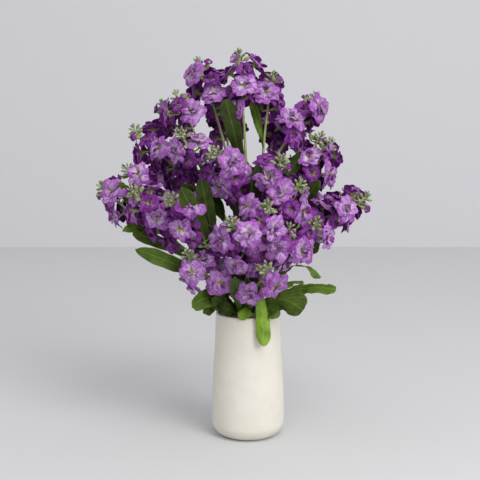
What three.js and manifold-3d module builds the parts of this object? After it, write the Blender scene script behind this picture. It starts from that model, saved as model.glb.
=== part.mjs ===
// Cut stems of double purple stock (Matthiola incana) standing in a plain ceramic vase.
// Millimetres, +Z up. The origin is the centre of the vase's foot, +X runs to the right and -Y to the front.
import * as THREE from 'three';
import { ConvexGeometry } from 'three/addons/geometries/ConvexGeometry.js';
import { mergeVertices } from 'three/addons/utils/BufferGeometryUtils.js';
import Module from 'manifold-3d';

const wasm = await Module();
wasm.setup();

// Clearance between neighbouring pieces, and the wider one that cut petals keep
const GAP = 0.35;
const PETAL_GAP = 0.8;

// Vase: slip-cast ceramic, widest low down, with a rounded foot and a plain lip
const VASE_HEIGHT = 155;
const VASE_WIDEST_RADIUS = 45.2;
const VASE_WIDEST_HEIGHT = 25;
const VASE_RIM_RADIUS = 40.2;
const VASE_FOOT_ROUNDING = 18;
const VASE_WALL = 4;
const VASE_FLOOR = 7;
const VASE_LIP_ROUNDING = 1.2;
const VASE_SIDES = 24;
const WATER_LEVEL = 96;

// Stems: one ring near the wall and one in the middle, both turned the same way so that no two cross
const OUTER_RING = { radius: 26, sides: 5 };
const INNER_RING = { radius: 11.5, sides: 5 };
const RING_TWIST = 60;
const RIM_LEAD = 25;
const STEM_RADIUS = { foot: 2.9, rim: 2.7, tip: 1.2 };
const STEM_STEPS = 4;
const STEM_BEND = 0.35;
const BRANCH_RADIUS = { fork: 2.1, tip: 1.4 };
const BRANCH_SIDES = 3;
const BRANCH_STEPS = 3;
const BRANCH_BEND = { fork: 0.3, tip: 0.4 };

// Florets stand round the top of a stem: the first this far below its tip, the others a step apart
const BLOOM_FIRST = 15;
const BLOOM_STEP = 12;
const BLOOM_STANDOFF = 15.5;
const BLOOM_LIFT = 0.4;
const BLOOM_RADIUS = 19;
const HALF_OPEN_FIRST = 8.25;
const HALF_OPEN_STEP = 2;
const HALF_OPEN_STANDOFF = 11;
const HALF_OPEN_RADIUS = 6.5;
const SIZE_SPREAD = 0.2;
const GOLDEN_ANGLE = 137.5;

// How much a floret faces away from its own stem, out of the bunch, and up
const FACE_OWN = 0.9;
const FACE_OUT = 0.55;
const FACE_UP = 0.06;
const BUNCH_MIDDLE = 330;
const BUNCH_FLATTENING = 0.3;

// An open floret's layers, as shares of its radius: lobes, the points of a lobe as [share of the lobe, reach]
const OUTER_PETALS = { lobes: 5, points: [[0, 1], [0.5, 0.76]], radius: 1.06, height: 0.04, turn: 0.5 };
const WAIST = { radius: 0.34, height: 0.1, sides: 3 };
const INNER_PETALS = { lobes: 3, points: [[0, 1], [0.5, 0.66]], radius: 0.68, height: 0.44, turn: 0 };
const THROAT_HEIGHT = 0.3;
const CALYX_DEPTH = 0.45;
const CALYX_RADIUS = 2.2;
const STALK_RADIUS = 1.9;
const PETAL_RUFFLE = 0.1;

// A half-open floret is a tight bud of petals on a longer calyx
const HALF_OPEN = { sides: 5, belly: 0.8, height: 0.7, depth: 0.75 };

// The green buds on a stem's tip: a ring of them that stand out round one in the middle
const BUDS = { round: 4, reach: 8, height: 9, valley: 0.45, berth: 9 };

// The core that a head's florets grow from, a sleeve of pedicels round its stem
const CORE_RADIUS = 3.8;
const CORE_SIDES = 4;
const CORE_START = 5;
const CORE_END = 4;

// Easing apart: florets that would crowd each other are pushed aside, as in a real bunch
const EASE_ROUNDS = 60;
const EASE_SPACING = 0.89;
const EASE_SHARE = 0.45;
const EASE_RETURN = 0.08;
const STEM_BERTH = 12;
const STEM_POSTS = 16;

const LEAF_THICKNESS = 1.5;
const LEAF_WAVE = 1.6;
const LEAF_WAVE_STEP = 2.4;
const LEAF_KEEL = 0.22;
const LEAF_WIDEST = 0.74;
const LEAF_MARKS = [0.18, 0.46, 0.74, 0.93];

const COLOURS = { stem: 0x6f8f3d, vase: 0xe9e4d6, petal: 0x8b3fa8, water: 0xa9c4c6 };

// Each stem stands in a ring at an angle, and carries heads. A head's tip is where its green buds end; the
// first head is the stem's own top, and the others branch off at the given share of its length above the rim.
const STEMS = [
  { name: 'front', ring: OUTER_RING, angle: 270, heads: [
    { tip: [21, -100, 298], blooms: 4, halves: 1 },
    { tip: [-19, -108, 280], blooms: 5, halves: 1, fork: 0.42 },
    { tip: [20, -98, 228], blooms: 4, halves: 1, fork: 0.1 }] },
  { name: 'front_left', ring: OUTER_RING, angle: 225, heads: [
    { tip: [-88, -86, 306], blooms: 4, halves: 1 },
    { tip: [-71, -80, 240], blooms: 4, halves: 0, fork: 0.12 },
    { tip: [-52, -62, 254], blooms: 3, halves: 0, fork: 0.3 }] },
  { name: 'left', ring: OUTER_RING, angle: 180, heads: [
    { tip: [-174, -24, 313], blooms: 3, halves: 2 },
    { tip: [-134, -66, 312], blooms: 4, halves: 2, fork: 0.44 },
    { tip: [-146, -12, 334], blooms: 4, halves: 1, fork: 0.5 }] },
  { name: 'left_back', ring: OUTER_RING, angle: 135, heads: [
    { tip: [-120, 58, 352], blooms: 3, halves: 1 },
    { tip: [-122, 78, 290], blooms: 3, halves: 0, fork: 0.38 }] },
  { name: 'back', ring: OUTER_RING, angle: 90, heads: [
    { tip: [-24, 112, 348], blooms: 3, halves: 1 },
    { tip: [0, 122, 276], blooms: 3, halves: 0, fork: 0.35 }] },
  { name: 'back_right', ring: OUTER_RING, angle: 45, heads: [
    { tip: [58, 102, 338], blooms: 3, halves: 1 },
    { tip: [100, 88, 284], blooms: 3, halves: 0, fork: 0.35 }] },
  { name: 'right', ring: OUTER_RING, angle: 0, heads: [
    { tip: [99, 0, 364], blooms: 4, halves: 2 },
    { tip: [139, -30, 301], blooms: 5, halves: 2, fork: 0.42 },
    { tip: [126, 40, 300], blooms: 3, halves: 0, fork: 0.38 }] },
  { name: 'front_right', ring: OUTER_RING, angle: 315, heads: [
    { tip: [58, -84, 322], blooms: 4, halves: 1 },
    { tip: [79, -62, 275], blooms: 4, halves: 2, fork: 0.34 },
    { tip: [46, -80, 270], blooms: 3, halves: 0, fork: 0.25 }] },
  { name: 'top_left', ring: INNER_RING, angle: 190, heads: [
    { tip: [-85, -12, 420], blooms: 3, halves: 1 },
    { tip: [-138, 0, 380], blooms: 4, halves: 2, fork: 0.42 },
    { tip: [-80, -44, 378], blooms: 3, halves: 0, fork: 0.48 },
    { tip: [-106, 34, 410], blooms: 2, halves: 1, fork: 0.5 }] },
  { name: 'top', ring: INNER_RING, angle: 100, heads: [
    { tip: [-60, 6, 460], blooms: 5, halves: 2 },
    { tip: [-34, 66, 416], blooms: 4, halves: 1, fork: 0.5 }] },
  { name: 'top_right', ring: INNER_RING, angle: 10, heads: [
    { tip: [30, 4, 444], blooms: 3, halves: 1 },
    { tip: [82, 10, 420], blooms: 4, halves: 2, fork: 0.5 },
    { tip: [42, 64, 400], blooms: 3, halves: 0, fork: 0.45 },
    { tip: [92, 56, 370], blooms: 3, halves: 1, fork: 0.4 }] },
  { name: 'top_front', ring: INNER_RING, angle: 280, heads: [
    { tip: [-11, -18, 468], blooms: 5, halves: 2 },
    { tip: [-38, -70, 358], blooms: 4, halves: 1, fork: 0.38 },
    { tip: [38, -52, 348], blooms: 4, halves: 1, fork: 0.41 }] },
];

// Leaves: the stem that bears it, the share of the stem's length above the rim, the leaf's tip, its width,
// how far its middle arches up, and the quarter turns of its blade about its own length.
const LEAVES = [
  { stem: 'top_front', at: 0.5, tip: [-27, -34, 416], width: 20, rise: 4, turn: 0.5 },
  { stem: 'top_front', at: 0.3, tip: [12, -62, 340], width: 16, rise: 4, turn: 0 },
  { stem: 'front_left', at: 0.5, tip: [-70, -100, 322], width: 22, rise: 4, turn: 1.1 },
  { stem: 'top_right', at: 0.7, tip: [4, -8, 414], width: 11, rise: 8, turn: 0.6 },
  { stem: 'left', at: 0.6, tip: [-146, -52, 262], width: 12, rise: 14, turn: 0.9 },
  { stem: 'left', at: 0.26, tip: [-138, -34, 258], width: 15, rise: 12, turn: 0.75 },
  { stem: 'front_left', at: 0.2, tip: [-129, -76, 245], width: 18, rise: 4, turn: 1 },
  { stem: 'front_left', at: 0.04, tip: [-66, -76, 178], width: 24, rise: 22, turn: 1.1 },
  { stem: 'left', at: 0.03, tip: [-52, -46, 162], width: 17, rise: 22, turn: 1.1 },
  { stem: 'front', at: 0.02, tip: [-3, -47, 156], width: 17, rise: 18, turn: 0.25 },
  { stem: 'front_right', at: 0.03, tip: [19, -51, 124], width: 17, rise: 74, turn: 0.25 },
  { stem: 'front_right', at: 0.04, tip: [33, -47, 157], width: 17, rise: 20, turn: 0.6 },
  { stem: 'front_right', at: 0.08, tip: [64, -66, 171], width: 30, rise: 20, turn: 0.9 },
  { stem: 'right', at: 0.08, tip: [104, -48, 192], width: 17, rise: 14, turn: 0.6 },
  { stem: 'right', at: 0.16, tip: [88, -14, 200], width: 11, rise: 40, turn: 0.2 },
  { stem: 'right', at: 0.3, tip: [84, -46, 244], width: 15, rise: 6, turn: 1 },
  { stem: 'front', at: 0.03, tip: [-16, -58, 206], width: 17, rise: 2, turn: 0.4 },
  { stem: 'left_back', at: 0.08, tip: [-88, 42, 190], width: 20, rise: 18, turn: 0 },
  { stem: 'left_back', at: 0.3, tip: [-128, 20, 262], width: 16, rise: 10, turn: 0 },
  { stem: 'back', at: 0.05, tip: [-18, 80, 172], width: 22, rise: 24, turn: 0 },
  { stem: 'back', at: 0.2, tip: [34, 96, 222], width: 18, rise: 14, turn: 0 },
  { stem: 'back', at: 0.3, tip: [-44, 104, 246], width: 16, rise: 12, turn: 0 },
  { stem: 'back_right', at: 0.06, tip: [70, 58, 180], width: 20, rise: 22, turn: 0 },
  { stem: 'back_right', at: 0.25, tip: [104, 62, 236], width: 17, rise: 10, turn: 0 },
  { stem: 'right', at: 0.05, tip: [84, 26, 178], width: 19, rise: 22, turn: 0 },
];

const UP = new THREE.Vector3(0, 0, 1);
const { clamp, degToRad, lerp } = THREE.MathUtils;
const vec = (x, y, z) => new THREE.Vector3(x, y, z);

function polar(radius, degrees, z) {
  const turn = degToRad(degrees);
  return vec(radius * Math.cos(turn), radius * Math.sin(turn), z);
}

// A repeatable value from 0 to 1 for three whole numbers, by a linear congruential step
function chance(a, b, c) {
  let state = (a * 7919 + b * 104729 + c * 1299709 + 12345) % 4294967296;
  for (let i = 0; i < 3; i += 1) {
    state = (state * 1664525 + 1013904223) % 4294967296;
  }
  return state / 4294967296;
}

// Two directions square to a given one, so that side, other and along are right-handed
function across(along) {
  const side = UP.clone().cross(along);
  if (side.length() < 1e-3) side.set(0, 1, 0);
  side.normalize();
  return [side, along.clone().cross(side).normalize()];
}

// Solids from closed meshes, and back
function solidFrom(geometry) {
  const bare = geometry.clone();
  bare.deleteAttribute('normal');
  bare.deleteAttribute('uv');
  const merged = mergeVertices(bare, 1e-4);
  return new wasm.Manifold(new wasm.Mesh({
    numProp: 3,
    vertProperties: new Float32Array(merged.attributes.position.array),
    triVerts: new Uint32Array(merged.index.array),
  }));
}

function geometryFrom(solid) {
  const mesh = solid.getMesh();
  const geometry = new THREE.BufferGeometry();
  geometry.setAttribute('position', new THREE.BufferAttribute(mesh.vertProperties.slice(), 3));
  geometry.setIndex(new THREE.BufferAttribute(mesh.triVerts.slice(), 1));
  geometry.computeVertexNormals();
  return geometry;
}

const joined = (solids) => wasm.Manifold.union(solids);

// The biggest body of a solid: a scrap that a cut leaves loose is dropped
function keepWhole(solid) {
  return solid.decompose().sort((a, b) => b.volume() - a.volume())[0];
}

// The faces between two rings of points, which may differ in number: they step along whichever ring is behind
function bandFaces(low, high) {
  const faces = [];
  let i = 0;
  let j = 0;
  while (i < low.length || j < high.length) {
    const [lowHere, lowNext] = [low[i % low.length], low[(i + 1) % low.length]];
    const [highHere, highNext] = [high[j % high.length], high[(j + 1) % high.length]];
    if (j >= high.length || (i < low.length && (i + 1) / low.length <= (j + 1) / high.length)) {
      faces.push(lowHere, lowNext, highHere);
      i += 1;
    } else {
      faces.push(lowHere, highNext, highHere);
      j += 1;
    }
  }
  return faces;
}

// The faces between two rings of a leaf's blade, each [one edge, top, other edge, underside]. Its two skins fold
// along the same diagonals, so that they never pass through each other.
function bladeFaces([edge, top, far, under], [edgeOn, topOn, farOn, underOn]) {
  return [
    edge, top, edgeOn, top, topOn, edgeOn,
    top, far, topOn, far, farOn, topOn,
    far, under, underOn, far, underOn, farOn,
    under, edge, edgeOn, under, edgeOn, underOn];
}

// A closed skin over rings of points, from a first point to a last one
function loft(first, rings, last, between = bandFaces) {
  const points = [first, ...rings.flat(), last];
  let next = 1;
  const numbered = rings.map((ring) => ring.map(() => next++));
  const faces = [];
  const cap = (apex, ring, turned) => ring.forEach((number, i) => {
    const neighbour = ring[(i + 1) % ring.length];
    faces.push(apex, ...(turned ? [neighbour, number] : [number, neighbour]));
  });
  cap(0, numbered[0], true);
  numbered.slice(1).forEach((ring, k) => faces.push(...between(numbered[k], ring)));
  cap(points.length - 1, numbered[numbered.length - 1], false);
  const geometry = new THREE.BufferGeometry().setFromPoints(points);
  geometry.setIndex(faces);
  return solidFrom(geometry);
}

// Points round a centre, square to a direction and starting on the side of a hint
function ringAt(centre, along, hint, radius, count) {
  const side = hint.clone().addScaledVector(along, -hint.dot(along)).normalize();
  const other = along.clone().cross(side);
  return Array.from({ length: count }, (_, i) => {
    const turn = (2 * Math.PI * i) / count;
    return centre.clone()
      .addScaledVector(side, radius * Math.cos(turn))
      .addScaledVector(other, radius * Math.sin(turn));
  });
}

// A round rod along points, with a radius at each
function rod(points, radii, sides) {
  let [hint] = across(points[1].clone().sub(points[0]).normalize());
  const rings = points.map((point, k) => {
    const next = points[Math.min(k + 1, points.length - 1)];
    const last = points[Math.max(k - 1, 0)];
    const ring = ringAt(point, next.clone().sub(last).normalize(), hint, radii[k], sides);
    hint = ring[0].clone().sub(point);
    return ring;
  });
  return loft(points[0], rings, points[points.length - 1]);
}

function pointsOf(solid) {
  const { vertProperties } = solid.getMesh();
  return Array.from({ length: vertProperties.length / 3 }, (_, i) =>
    vec(...vertProperties.slice(3 * i, 3 * i + 3)));
}

// The convex room round some points, a little larger than they need, to cut others clear of them
function roomFor(points) {
  const middle = vec(0, 0, 0);
  points.forEach((point) => middle.addScaledVector(point, 1 / points.length));
  return solidFrom(new ConvexGeometry(points.map((point) => {
    const out = point.clone().sub(middle);
    return middle.clone().add(out.setLength(out.length() + PETAL_GAP));
  })));
}

// A stem's top leans out from the bunch, and more so far out
function tipHeading(tip) {
  const out = Math.hypot(tip.x, tip.y);
  const lean = clamp(0.25 + (out - 40) / 180, 0.15, 0.8);
  return vec(tip.x / out * lean, tip.y / out * lean, 1).normalize();
}

// A stem runs straight from its foot in the vase to the rim, and curves above it
function stemPath(stem) {
  const angle = stem.angle - RIM_LEAD;
  const foot = polar(stem.ring.radius, angle - RING_TWIST, VASE_FLOOR + 3 * GAP);
  const rim = polar(stem.ring.radius, angle, VASE_HEIGHT);
  const tip = vec(...stem.heads[0].tip);
  const heading = rim.clone().sub(foot).normalize();
  const reach = STEM_BEND * tip.distanceTo(rim);
  return {
    foot,
    above: new THREE.CubicBezierCurve3(
      rim, rim.clone().addScaledVector(heading, reach),
      tip.clone().addScaledVector(tipHeading(tip), -reach), tip),
  };
}

// The first head is the stem's own top, and the others curve away from their forks
function headPath(stem, head, above) {
  if (head === stem.heads[0]) return above;
  const fork = above.getPoint(head.fork);
  const tip = vec(...head.tip);
  const reach = tip.distanceTo(fork);
  return new THREE.CubicBezierCurve3(
    fork, fork.clone().addScaledVector(above.getTangent(head.fork), BRANCH_BEND.fork * reach),
    tip.clone().addScaledVector(tipHeading(tip), -BRANCH_BEND.tip * reach), tip);
}

// One floret of a head: where it grows on the head's path, and how far out it stands
function placeFloret({ head, path, length, number }, index) {
  const open = index >= head.halves;
  const down = open
    ? BLOOM_FIRST + BLOOM_STEP * (index - head.halves)
    : HALF_OPEN_FIRST + HALF_OPEN_STEP * index;
  const share = Math.max(1 - down / length, 0.2);
  const root = path.getPoint(share);
  const along = path.getTangent(share);
  const [side, other] = across(along);
  const turn = degToRad(GOLDEN_ANGLE * index + 360 * chance(number, 0, 1));
  const standoff = open ? BLOOM_STANDOFF : HALF_OPEN_STANDOFF;
  const home = root.clone()
    .addScaledVector(side, standoff * Math.cos(turn))
    .addScaledVector(other, standoff * Math.sin(turn))
    .addScaledVector(along, standoff * BLOOM_LIFT);
  const size = 1 + SIZE_SPREAD * (chance(number, index, 2) - 0.5);
  const radius = size * (open ? BLOOM_RADIUS : HALF_OPEN_RADIUS);
  return { number, index, open, root, home, place: home.clone(), radius };
}

// Every head, and every floret in it. A head's buds hold their place while the florets ease apart.
function layOut() {
  const heads = STEMS.flatMap((stem) => stem.heads.map((head) => {
    const path = headPath(stem, head, stemPath(stem).above);
    return { stem, head, path, length: path.getLength() };
  }));
  const florets = heads.flatMap((entry, number) => {
    entry.number = number;
    const count = entry.head.halves + entry.head.blooms;
    const tip = entry.path.getPoint(1);
    const own = Array.from({ length: count }, (_, index) => placeFloret(entry, index));
    return [...own, { number, fixed: true, place: tip, home: tip, radius: BUDS.berth }];
  });
  easeApart(heads, florets);
  return { heads, florets: florets.filter(({ fixed }) => !fixed) };
}

// Adds to a shift what takes a point out of another's berth
function pushOff(shift, place, other, berth) {
  const away = place.clone().sub(other);
  const short = berth - away.length();
  if (short > 0) shift.addScaledVector(away.normalize(), short * EASE_SHARE);
}

// Pushes crowded florets off each other and off the stems, and draws each back towards its home
function easeApart(heads, florets) {
  const posts = heads.flatMap(({ path, number }) =>
    Array.from({ length: STEM_POSTS + 1 }, (_, i) => ({ number, point: path.getPoint(i / STEM_POSTS) })));
  for (let round = 0; round < EASE_ROUNDS; round += 1) {
    const shifts = florets.map((one) => {
      const shift = one.home.clone().sub(one.place).multiplyScalar(EASE_RETURN);
      for (const other of florets) {
        if (other !== one) pushOff(shift, one.place, other.place, (one.radius + other.radius) * EASE_SPACING);
      }
      for (const post of posts) {
        if (post.number !== one.number) pushOff(shift, one.place, post.point, STEM_BERTH);
      }
      return shift;
    });
    florets.forEach((floret, i) => {
      if (!floret.fixed) floret.place.add(shifts[i]);
    });
  }
}

// The way a floret looks
function facing({ place, root }) {
  const outward = vec(place.x, place.y, (place.z - BUNCH_MIDDLE) * BUNCH_FLATTENING).normalize();
  return place.clone().sub(root).normalize().multiplyScalar(FACE_OWN)
    .addScaledVector(outward, FACE_OUT)
    .addScaledVector(UP, FACE_UP)
    .normalize();
}

// The lobed, ruffled edge of one layer of petals
function petalEdge(floret, face, side, { lobes, points, radius, height, turn }) {
  const other = face.clone().cross(side);
  const size = floret.radius;
  return Array.from({ length: lobes }, (_, lobe) => points.map(([share, reach]) => {
    const angle = turn + (2 * Math.PI * (lobe + share)) / lobes;
    const ruffle = PETAL_RUFFLE * (chance(floret.number, floret.index, 10 + lobe) - 0.5);
    return floret.place.clone()
      .addScaledVector(side, size * radius * reach * Math.cos(angle))
      .addScaledVector(other, size * radius * reach * Math.sin(angle))
      .addScaledVector(face, size * (height * reach + ruffle));
  })).flat();
}

// A floret in one skin: pedicel, calyx, outer petals, the waist inside them, inner petals and throat
function floretSolids(floret) {
  const size = floret.radius;
  const face = facing(floret);
  const [first, second] = across(face);
  const spin = 2 * Math.PI * chance(floret.number, floret.index, 3);
  const side = first.multiplyScalar(Math.cos(spin)).addScaledVector(second, Math.sin(spin));
  const at = (share) => floret.place.clone().addScaledVector(face, share * size);
  const calyx = at(-(floret.open ? CALYX_DEPTH : HALF_OPEN.depth));
  const neck = ringAt(calyx, face, side, CALYX_RADIUS, 3);
  const stalk = loft(floret.root, [ringAt(calyx, face, side, STALK_RADIUS, 3)], calyx);
  if (!floret.open) {
    const belly = ringAt(floret.place, face, side, size * HALF_OPEN.belly, HALF_OPEN.sides);
    const top = at(HALF_OPEN.height);
    return { whole: loft(floret.root, [neck, belly], top), petals: [...neck, ...belly, top], stalk };
  }
  const outer = petalEdge(floret, face, side, OUTER_PETALS);
  const waist = ringAt(at(WAIST.height), face, side, size * WAIST.radius, WAIST.sides);
  const inner = petalEdge(floret, face, side, INNER_PETALS);
  return {
    whole: loft(floret.root, [neck, outer, waist, inner], at(THROAT_HEIGHT)),
    petals: [...neck, ...outer, ...inner],
    stalk,
  };
}

// A head's florets, the core they grow from, the slimmer frame that holds them where others cut through, and
// the rooms that they need
function headPieces({ head, path, length, number }) {
  const own = florets.filter((floret) => floret.number === number).map(floretSolids);
  const lowest = BLOOM_FIRST + BLOOM_STEP * (head.blooms - 1) + CORE_END;
  const downs = [lowest, (lowest + CORE_START) / 2, CORE_START];
  const marks = downs.map((down) => path.getPoint(1 - down / length));
  const sleeve = (radius) => rod(marks, marks.map(() => radius), CORE_SIDES);
  return {
    solids: [...own.map(({ whole }) => whole), sleeve(CORE_RADIUS)],
    frame: [...own.map(({ stalk }) => stalk), sleeve(CORE_RADIUS - GAP)],
    coreRoom: sleeve(CORE_RADIUS + GAP),
    stalkRoom: joined(own.map(({ stalk }) => roomFor(pointsOf(stalk)))),
    petalRoom: joined(own.map(({ petals }) => roomFor(petals))),
  };
}

// A head in one solid, clear of the earlier heads, every stalk and core, every stem and every cluster of buds
function headSolid({ solids, frame }, number) {
  const rooms = [
    ...pieces.slice(0, number).map(({ petalRoom }) => petalRoom),
    ...pieces.filter((_, i) => i !== number).flatMap(({ stalkRoom, coreRoom }) => [stalkRoom, coreRoom])];
  const cut = joined(solids).subtract(joined(rooms));
  const whole = cut.decompose().length > 1 ? joined([cut, ...frame]) : cut;
  return keepWhole(whole.subtract(joined([...stemRooms, ...budRooms])));
}

// The main stem and the branches, as rods; spare adds to their radius and lowers the foot
function stemRods(stem, spare) {
  const { foot, above } = stemPath(stem);
  const rim = above.getPoint(0);
  const low = foot.clone().addScaledVector(foot.clone().sub(rim).normalize(), 6 * spare);
  const shares = Array.from({ length: STEM_STEPS + 1 }, (_, i) => i / STEM_STEPS);
  const main = rod(
    [low, ...shares.map((share) => above.getPoint(share))],
    [STEM_RADIUS.foot, ...shares.map((share) => lerp(STEM_RADIUS.rim, STEM_RADIUS.tip, share))]
      .map((radius) => radius + spare),
    stem.ring.sides);
  const branches = stem.heads.slice(1).map((head) => {
    const path = headPath(stem, head, above);
    const marks = Array.from({ length: BRANCH_STEPS + 1 }, (_, i) => i / BRANCH_STEPS);
    return rod(
      marks.map((share) => path.getPoint(share)),
      marks.map((share) => lerp(BRANCH_RADIUS.fork, BRANCH_RADIUS.tip, share) + spare),
      BRANCH_SIDES);
  });
  return [main, ...branches];
}

// Green buds crowded on a stem's tip
function budCluster({ path, number }) {
  const tip = path.getPoint(1);
  const along = path.getTangent(1);
  const [side, other] = across(along);
  const spin = 2 * Math.PI * chance(number, 0, 5);
  const at = (share) => tip.clone().addScaledVector(along, share * BUDS.height);
  const edge = Array.from({ length: 2 * BUDS.round }, (_, i) => {
    const turn = spin + (Math.PI * i) / BUDS.round;
    const bud = i % 2 === 0;
    const reach = BUDS.reach * (bud ? 1 : BUDS.valley);
    return at(bud ? 0.6 : 0.3)
      .addScaledVector(side, reach * Math.cos(turn))
      .addScaledVector(other, reach * Math.sin(turn));
  });
  const top = ringAt(at(0.6), along, side, BUDS.reach * 0.4, BUDS.round);
  return loft(at(-0.4), [edge, top], at(1.1));
}

// Half a leaf's width along its length, as a share: a narrow foot, widest past the middle, and a round tip
function leafProfile(share) {
  if (share < LEAF_WIDEST) return 0.22 + 0.78 * Math.sin((share / LEAF_WIDEST) * Math.PI / 2) ** 1.6;
  return Math.sqrt(1 - ((share - LEAF_WIDEST) / (1.02 - LEAF_WIDEST)) ** 2.6);
}

// A waved blade whose halves rise from the rib between them; spare makes it thicker and wider
function leafBlade(leaf, spare) {
  const { above } = stemPath(STEMS.find((stem) => stem.name === leaf.stem));
  const base = above.getPoint(leaf.at);
  const tip = vec(...leaf.tip);
  const middle = base.clone().lerp(tip, 0.5).addScaledVector(UP, leaf.rise);
  const path = new THREE.QuadraticBezierCurve3(base, middle, tip);
  const level = tip.clone().sub(base).cross(above.getTangent(leaf.at));
  const phase = 6 * chance(LEAVES.indexOf(leaf), 1, 1);
  const rings = LEAF_MARKS.map((share, k) => {
    const along = path.getTangent(share);
    const sideways = level.clone().projectOnPlane(along).normalize().applyAxisAngle(along, leaf.turn * Math.PI / 2);
    const top = along.clone().cross(sideways);
    const half = leaf.width / 2 * leafProfile(share);
    const wider = 1 + spare / half;
    const lift = LEAF_KEEL * half;
    const wave = LEAF_WAVE * Math.sin(LEAF_WAVE_STEP * k + phase);
    const thick = LEAF_THICKNESS / 2 + spare;
    const corners = [
      [half * wider, (lift + wave) * wider], [0, thick],
      [-half * wider, (lift - wave) * wider], [0, -thick]];
    return corners.map(([out, up]) =>
      path.getPoint(share).addScaledVector(sideways, out).addScaledVector(top, up));
  });
  return loft(base, rings, tip.addScaledVector(path.getTangent(1), spare), bladeFaces);
}

// A stem with its buds and leaves; a leaf gives way to whatever stands where it would run
function stemSolid(stem, number) {
  const own = LEAVES.filter((leaf) => leaf.stem === stem.name);
  const earlier = STEMS.slice(0, number).map(({ name }) => name);
  const obstacles = [
    vaseRoom(), ...stemRooms.filter((_, i) => i !== number),
    ...LEAVES.filter((leaf) => earlier.includes(leaf.stem)).map((leaf) => leafBlade(leaf, GAP)),
    ...pieces.flatMap(({ petalRoom, stalkRoom, coreRoom }) => [petalRoom, stalkRoom, coreRoom]),
    ...budRooms.filter((_, i) => heads[i].stem !== stem)];
  const blades = own.map((leaf) => leafBlade(leaf, 0));
  const cut = blades.length ? [joined(blades).subtract(joined(obstacles))] : [];
  const buds = clusters.filter((_, i) => heads[i].stem === stem);
  return keepWhole(joined([...stemRods(stem, 0), ...buds, ...cut]));
}

// The vase's outer radius at a height
function vaseRadius(z) {
  const share = Math.max(z - VASE_WIDEST_HEIGHT, 0) / (VASE_HEIGHT - VASE_WIDEST_HEIGHT);
  return lerp(VASE_WIDEST_RADIUS, VASE_RIM_RADIUS, (1 - Math.cos(Math.PI * share)) / 2);
}

function turned(profile) {
  const points = profile.map(([radius, z]) => new THREE.Vector2(radius, z));
  return solidFrom(new THREE.LatheGeometry(points, VASE_SIDES).rotateX(Math.PI / 2));
}

function vaseSolid() {
  const round = VASE_FOOT_ROUNDING;
  const flat = VASE_WIDEST_RADIUS - round;
  const lipStart = VASE_HEIGHT - VASE_LIP_ROUNDING;
  const foot = [0, 45, 90].map(degToRad).map((turn) =>
    [flat + round * Math.sin(turn), round * (1 - Math.cos(turn))]);
  return turned([
    [0, 0], ...foot,
    ...[68, 112, lipStart].map((z) => [vaseRadius(z), z]),
    [VASE_RIM_RADIUS - VASE_LIP_ROUNDING, VASE_HEIGHT],
    [VASE_RIM_RADIUS - VASE_WALL + VASE_LIP_ROUNDING, VASE_HEIGHT],
    ...[lipStart, 20].map((z) => [vaseRadius(z) - VASE_WALL, z]),
    [flat + VASE_WALL, VASE_FLOOR], [0, VASE_FLOOR]]);
}

// The room of the vase's wall, to cut leaves clear of it
function vaseRoom() {
  const low = VASE_WIDEST_HEIGHT;
  const high = VASE_HEIGHT + 2 * GAP;
  return turned([
    [VASE_WIDEST_RADIUS + GAP, low], [VASE_RIM_RADIUS + 2 * GAP, high],
    [VASE_RIM_RADIUS - VASE_WALL - GAP, high], [VASE_WIDEST_RADIUS - VASE_WALL - GAP, low],
    [VASE_WIDEST_RADIUS + GAP, low]]);
}

function waterSolid() {
  const inset = VASE_WALL + 2 * GAP;
  const low = VASE_FLOOR + GAP;
  return turned([
    [0, low], [VASE_WIDEST_RADIUS - VASE_FOOT_ROUNDING + 3, low],
    ...[21, WATER_LEVEL].map((z) => [vaseRadius(z) - inset, z]),
    [0, WATER_LEVEL]]).subtract(joined(stemRooms));
}

const { heads, florets } = layOut();
const stemRooms = STEMS.map((stem) => joined(stemRods(stem, GAP)));
const clusters = heads.map(budCluster);
const budRooms = clusters.map((buds) => roomFor(pointsOf(buds)));
const pieces = heads.map(headPieces);

const group = new THREE.Group();
function place(name, solid, color, roughness) {
  const material = new THREE.MeshStandardMaterial({ color, roughness, metalness: 0 });
  const mesh = new THREE.Mesh(geometryFrom(solid), material);
  mesh.name = name;
  group.add(mesh);
}

place('vase', vaseSolid(), COLOURS.vase, 0.6);
place('water', waterSolid(), COLOURS.water, 0.1);
pieces.forEach((piece, number) => {
  const { stem, head } = heads[number];
  place(`florets_${stem.name}_${stem.heads.indexOf(head) + 1}`, headSolid(piece, number), COLOURS.petal, 0.7);
});
STEMS.forEach((stem, number) => place(`stem_${stem.name}`, stemSolid(stem, number), COLOURS.stem, 0.8));

export default group;
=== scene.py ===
# Cut stems of double purple stock standing in a plain cream ceramic vase.
# Metres, +Z up. The origin is the centre of the vase's foot, +X runs to the right and -Y to the front.
import math
from functools import partialmethod

import bpy
import numpy as np
from mathutils import Matrix


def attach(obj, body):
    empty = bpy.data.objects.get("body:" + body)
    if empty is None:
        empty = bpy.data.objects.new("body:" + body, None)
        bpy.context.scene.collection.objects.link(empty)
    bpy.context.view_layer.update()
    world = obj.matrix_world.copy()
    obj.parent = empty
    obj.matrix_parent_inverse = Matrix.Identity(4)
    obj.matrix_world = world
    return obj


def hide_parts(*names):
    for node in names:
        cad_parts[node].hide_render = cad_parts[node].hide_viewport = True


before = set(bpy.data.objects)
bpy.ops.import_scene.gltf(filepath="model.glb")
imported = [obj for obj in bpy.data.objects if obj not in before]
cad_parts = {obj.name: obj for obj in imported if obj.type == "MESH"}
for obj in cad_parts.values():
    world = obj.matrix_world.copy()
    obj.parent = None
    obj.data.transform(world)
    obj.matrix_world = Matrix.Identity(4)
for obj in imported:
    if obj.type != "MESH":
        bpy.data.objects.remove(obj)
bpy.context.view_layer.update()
MM = 0.001


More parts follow.
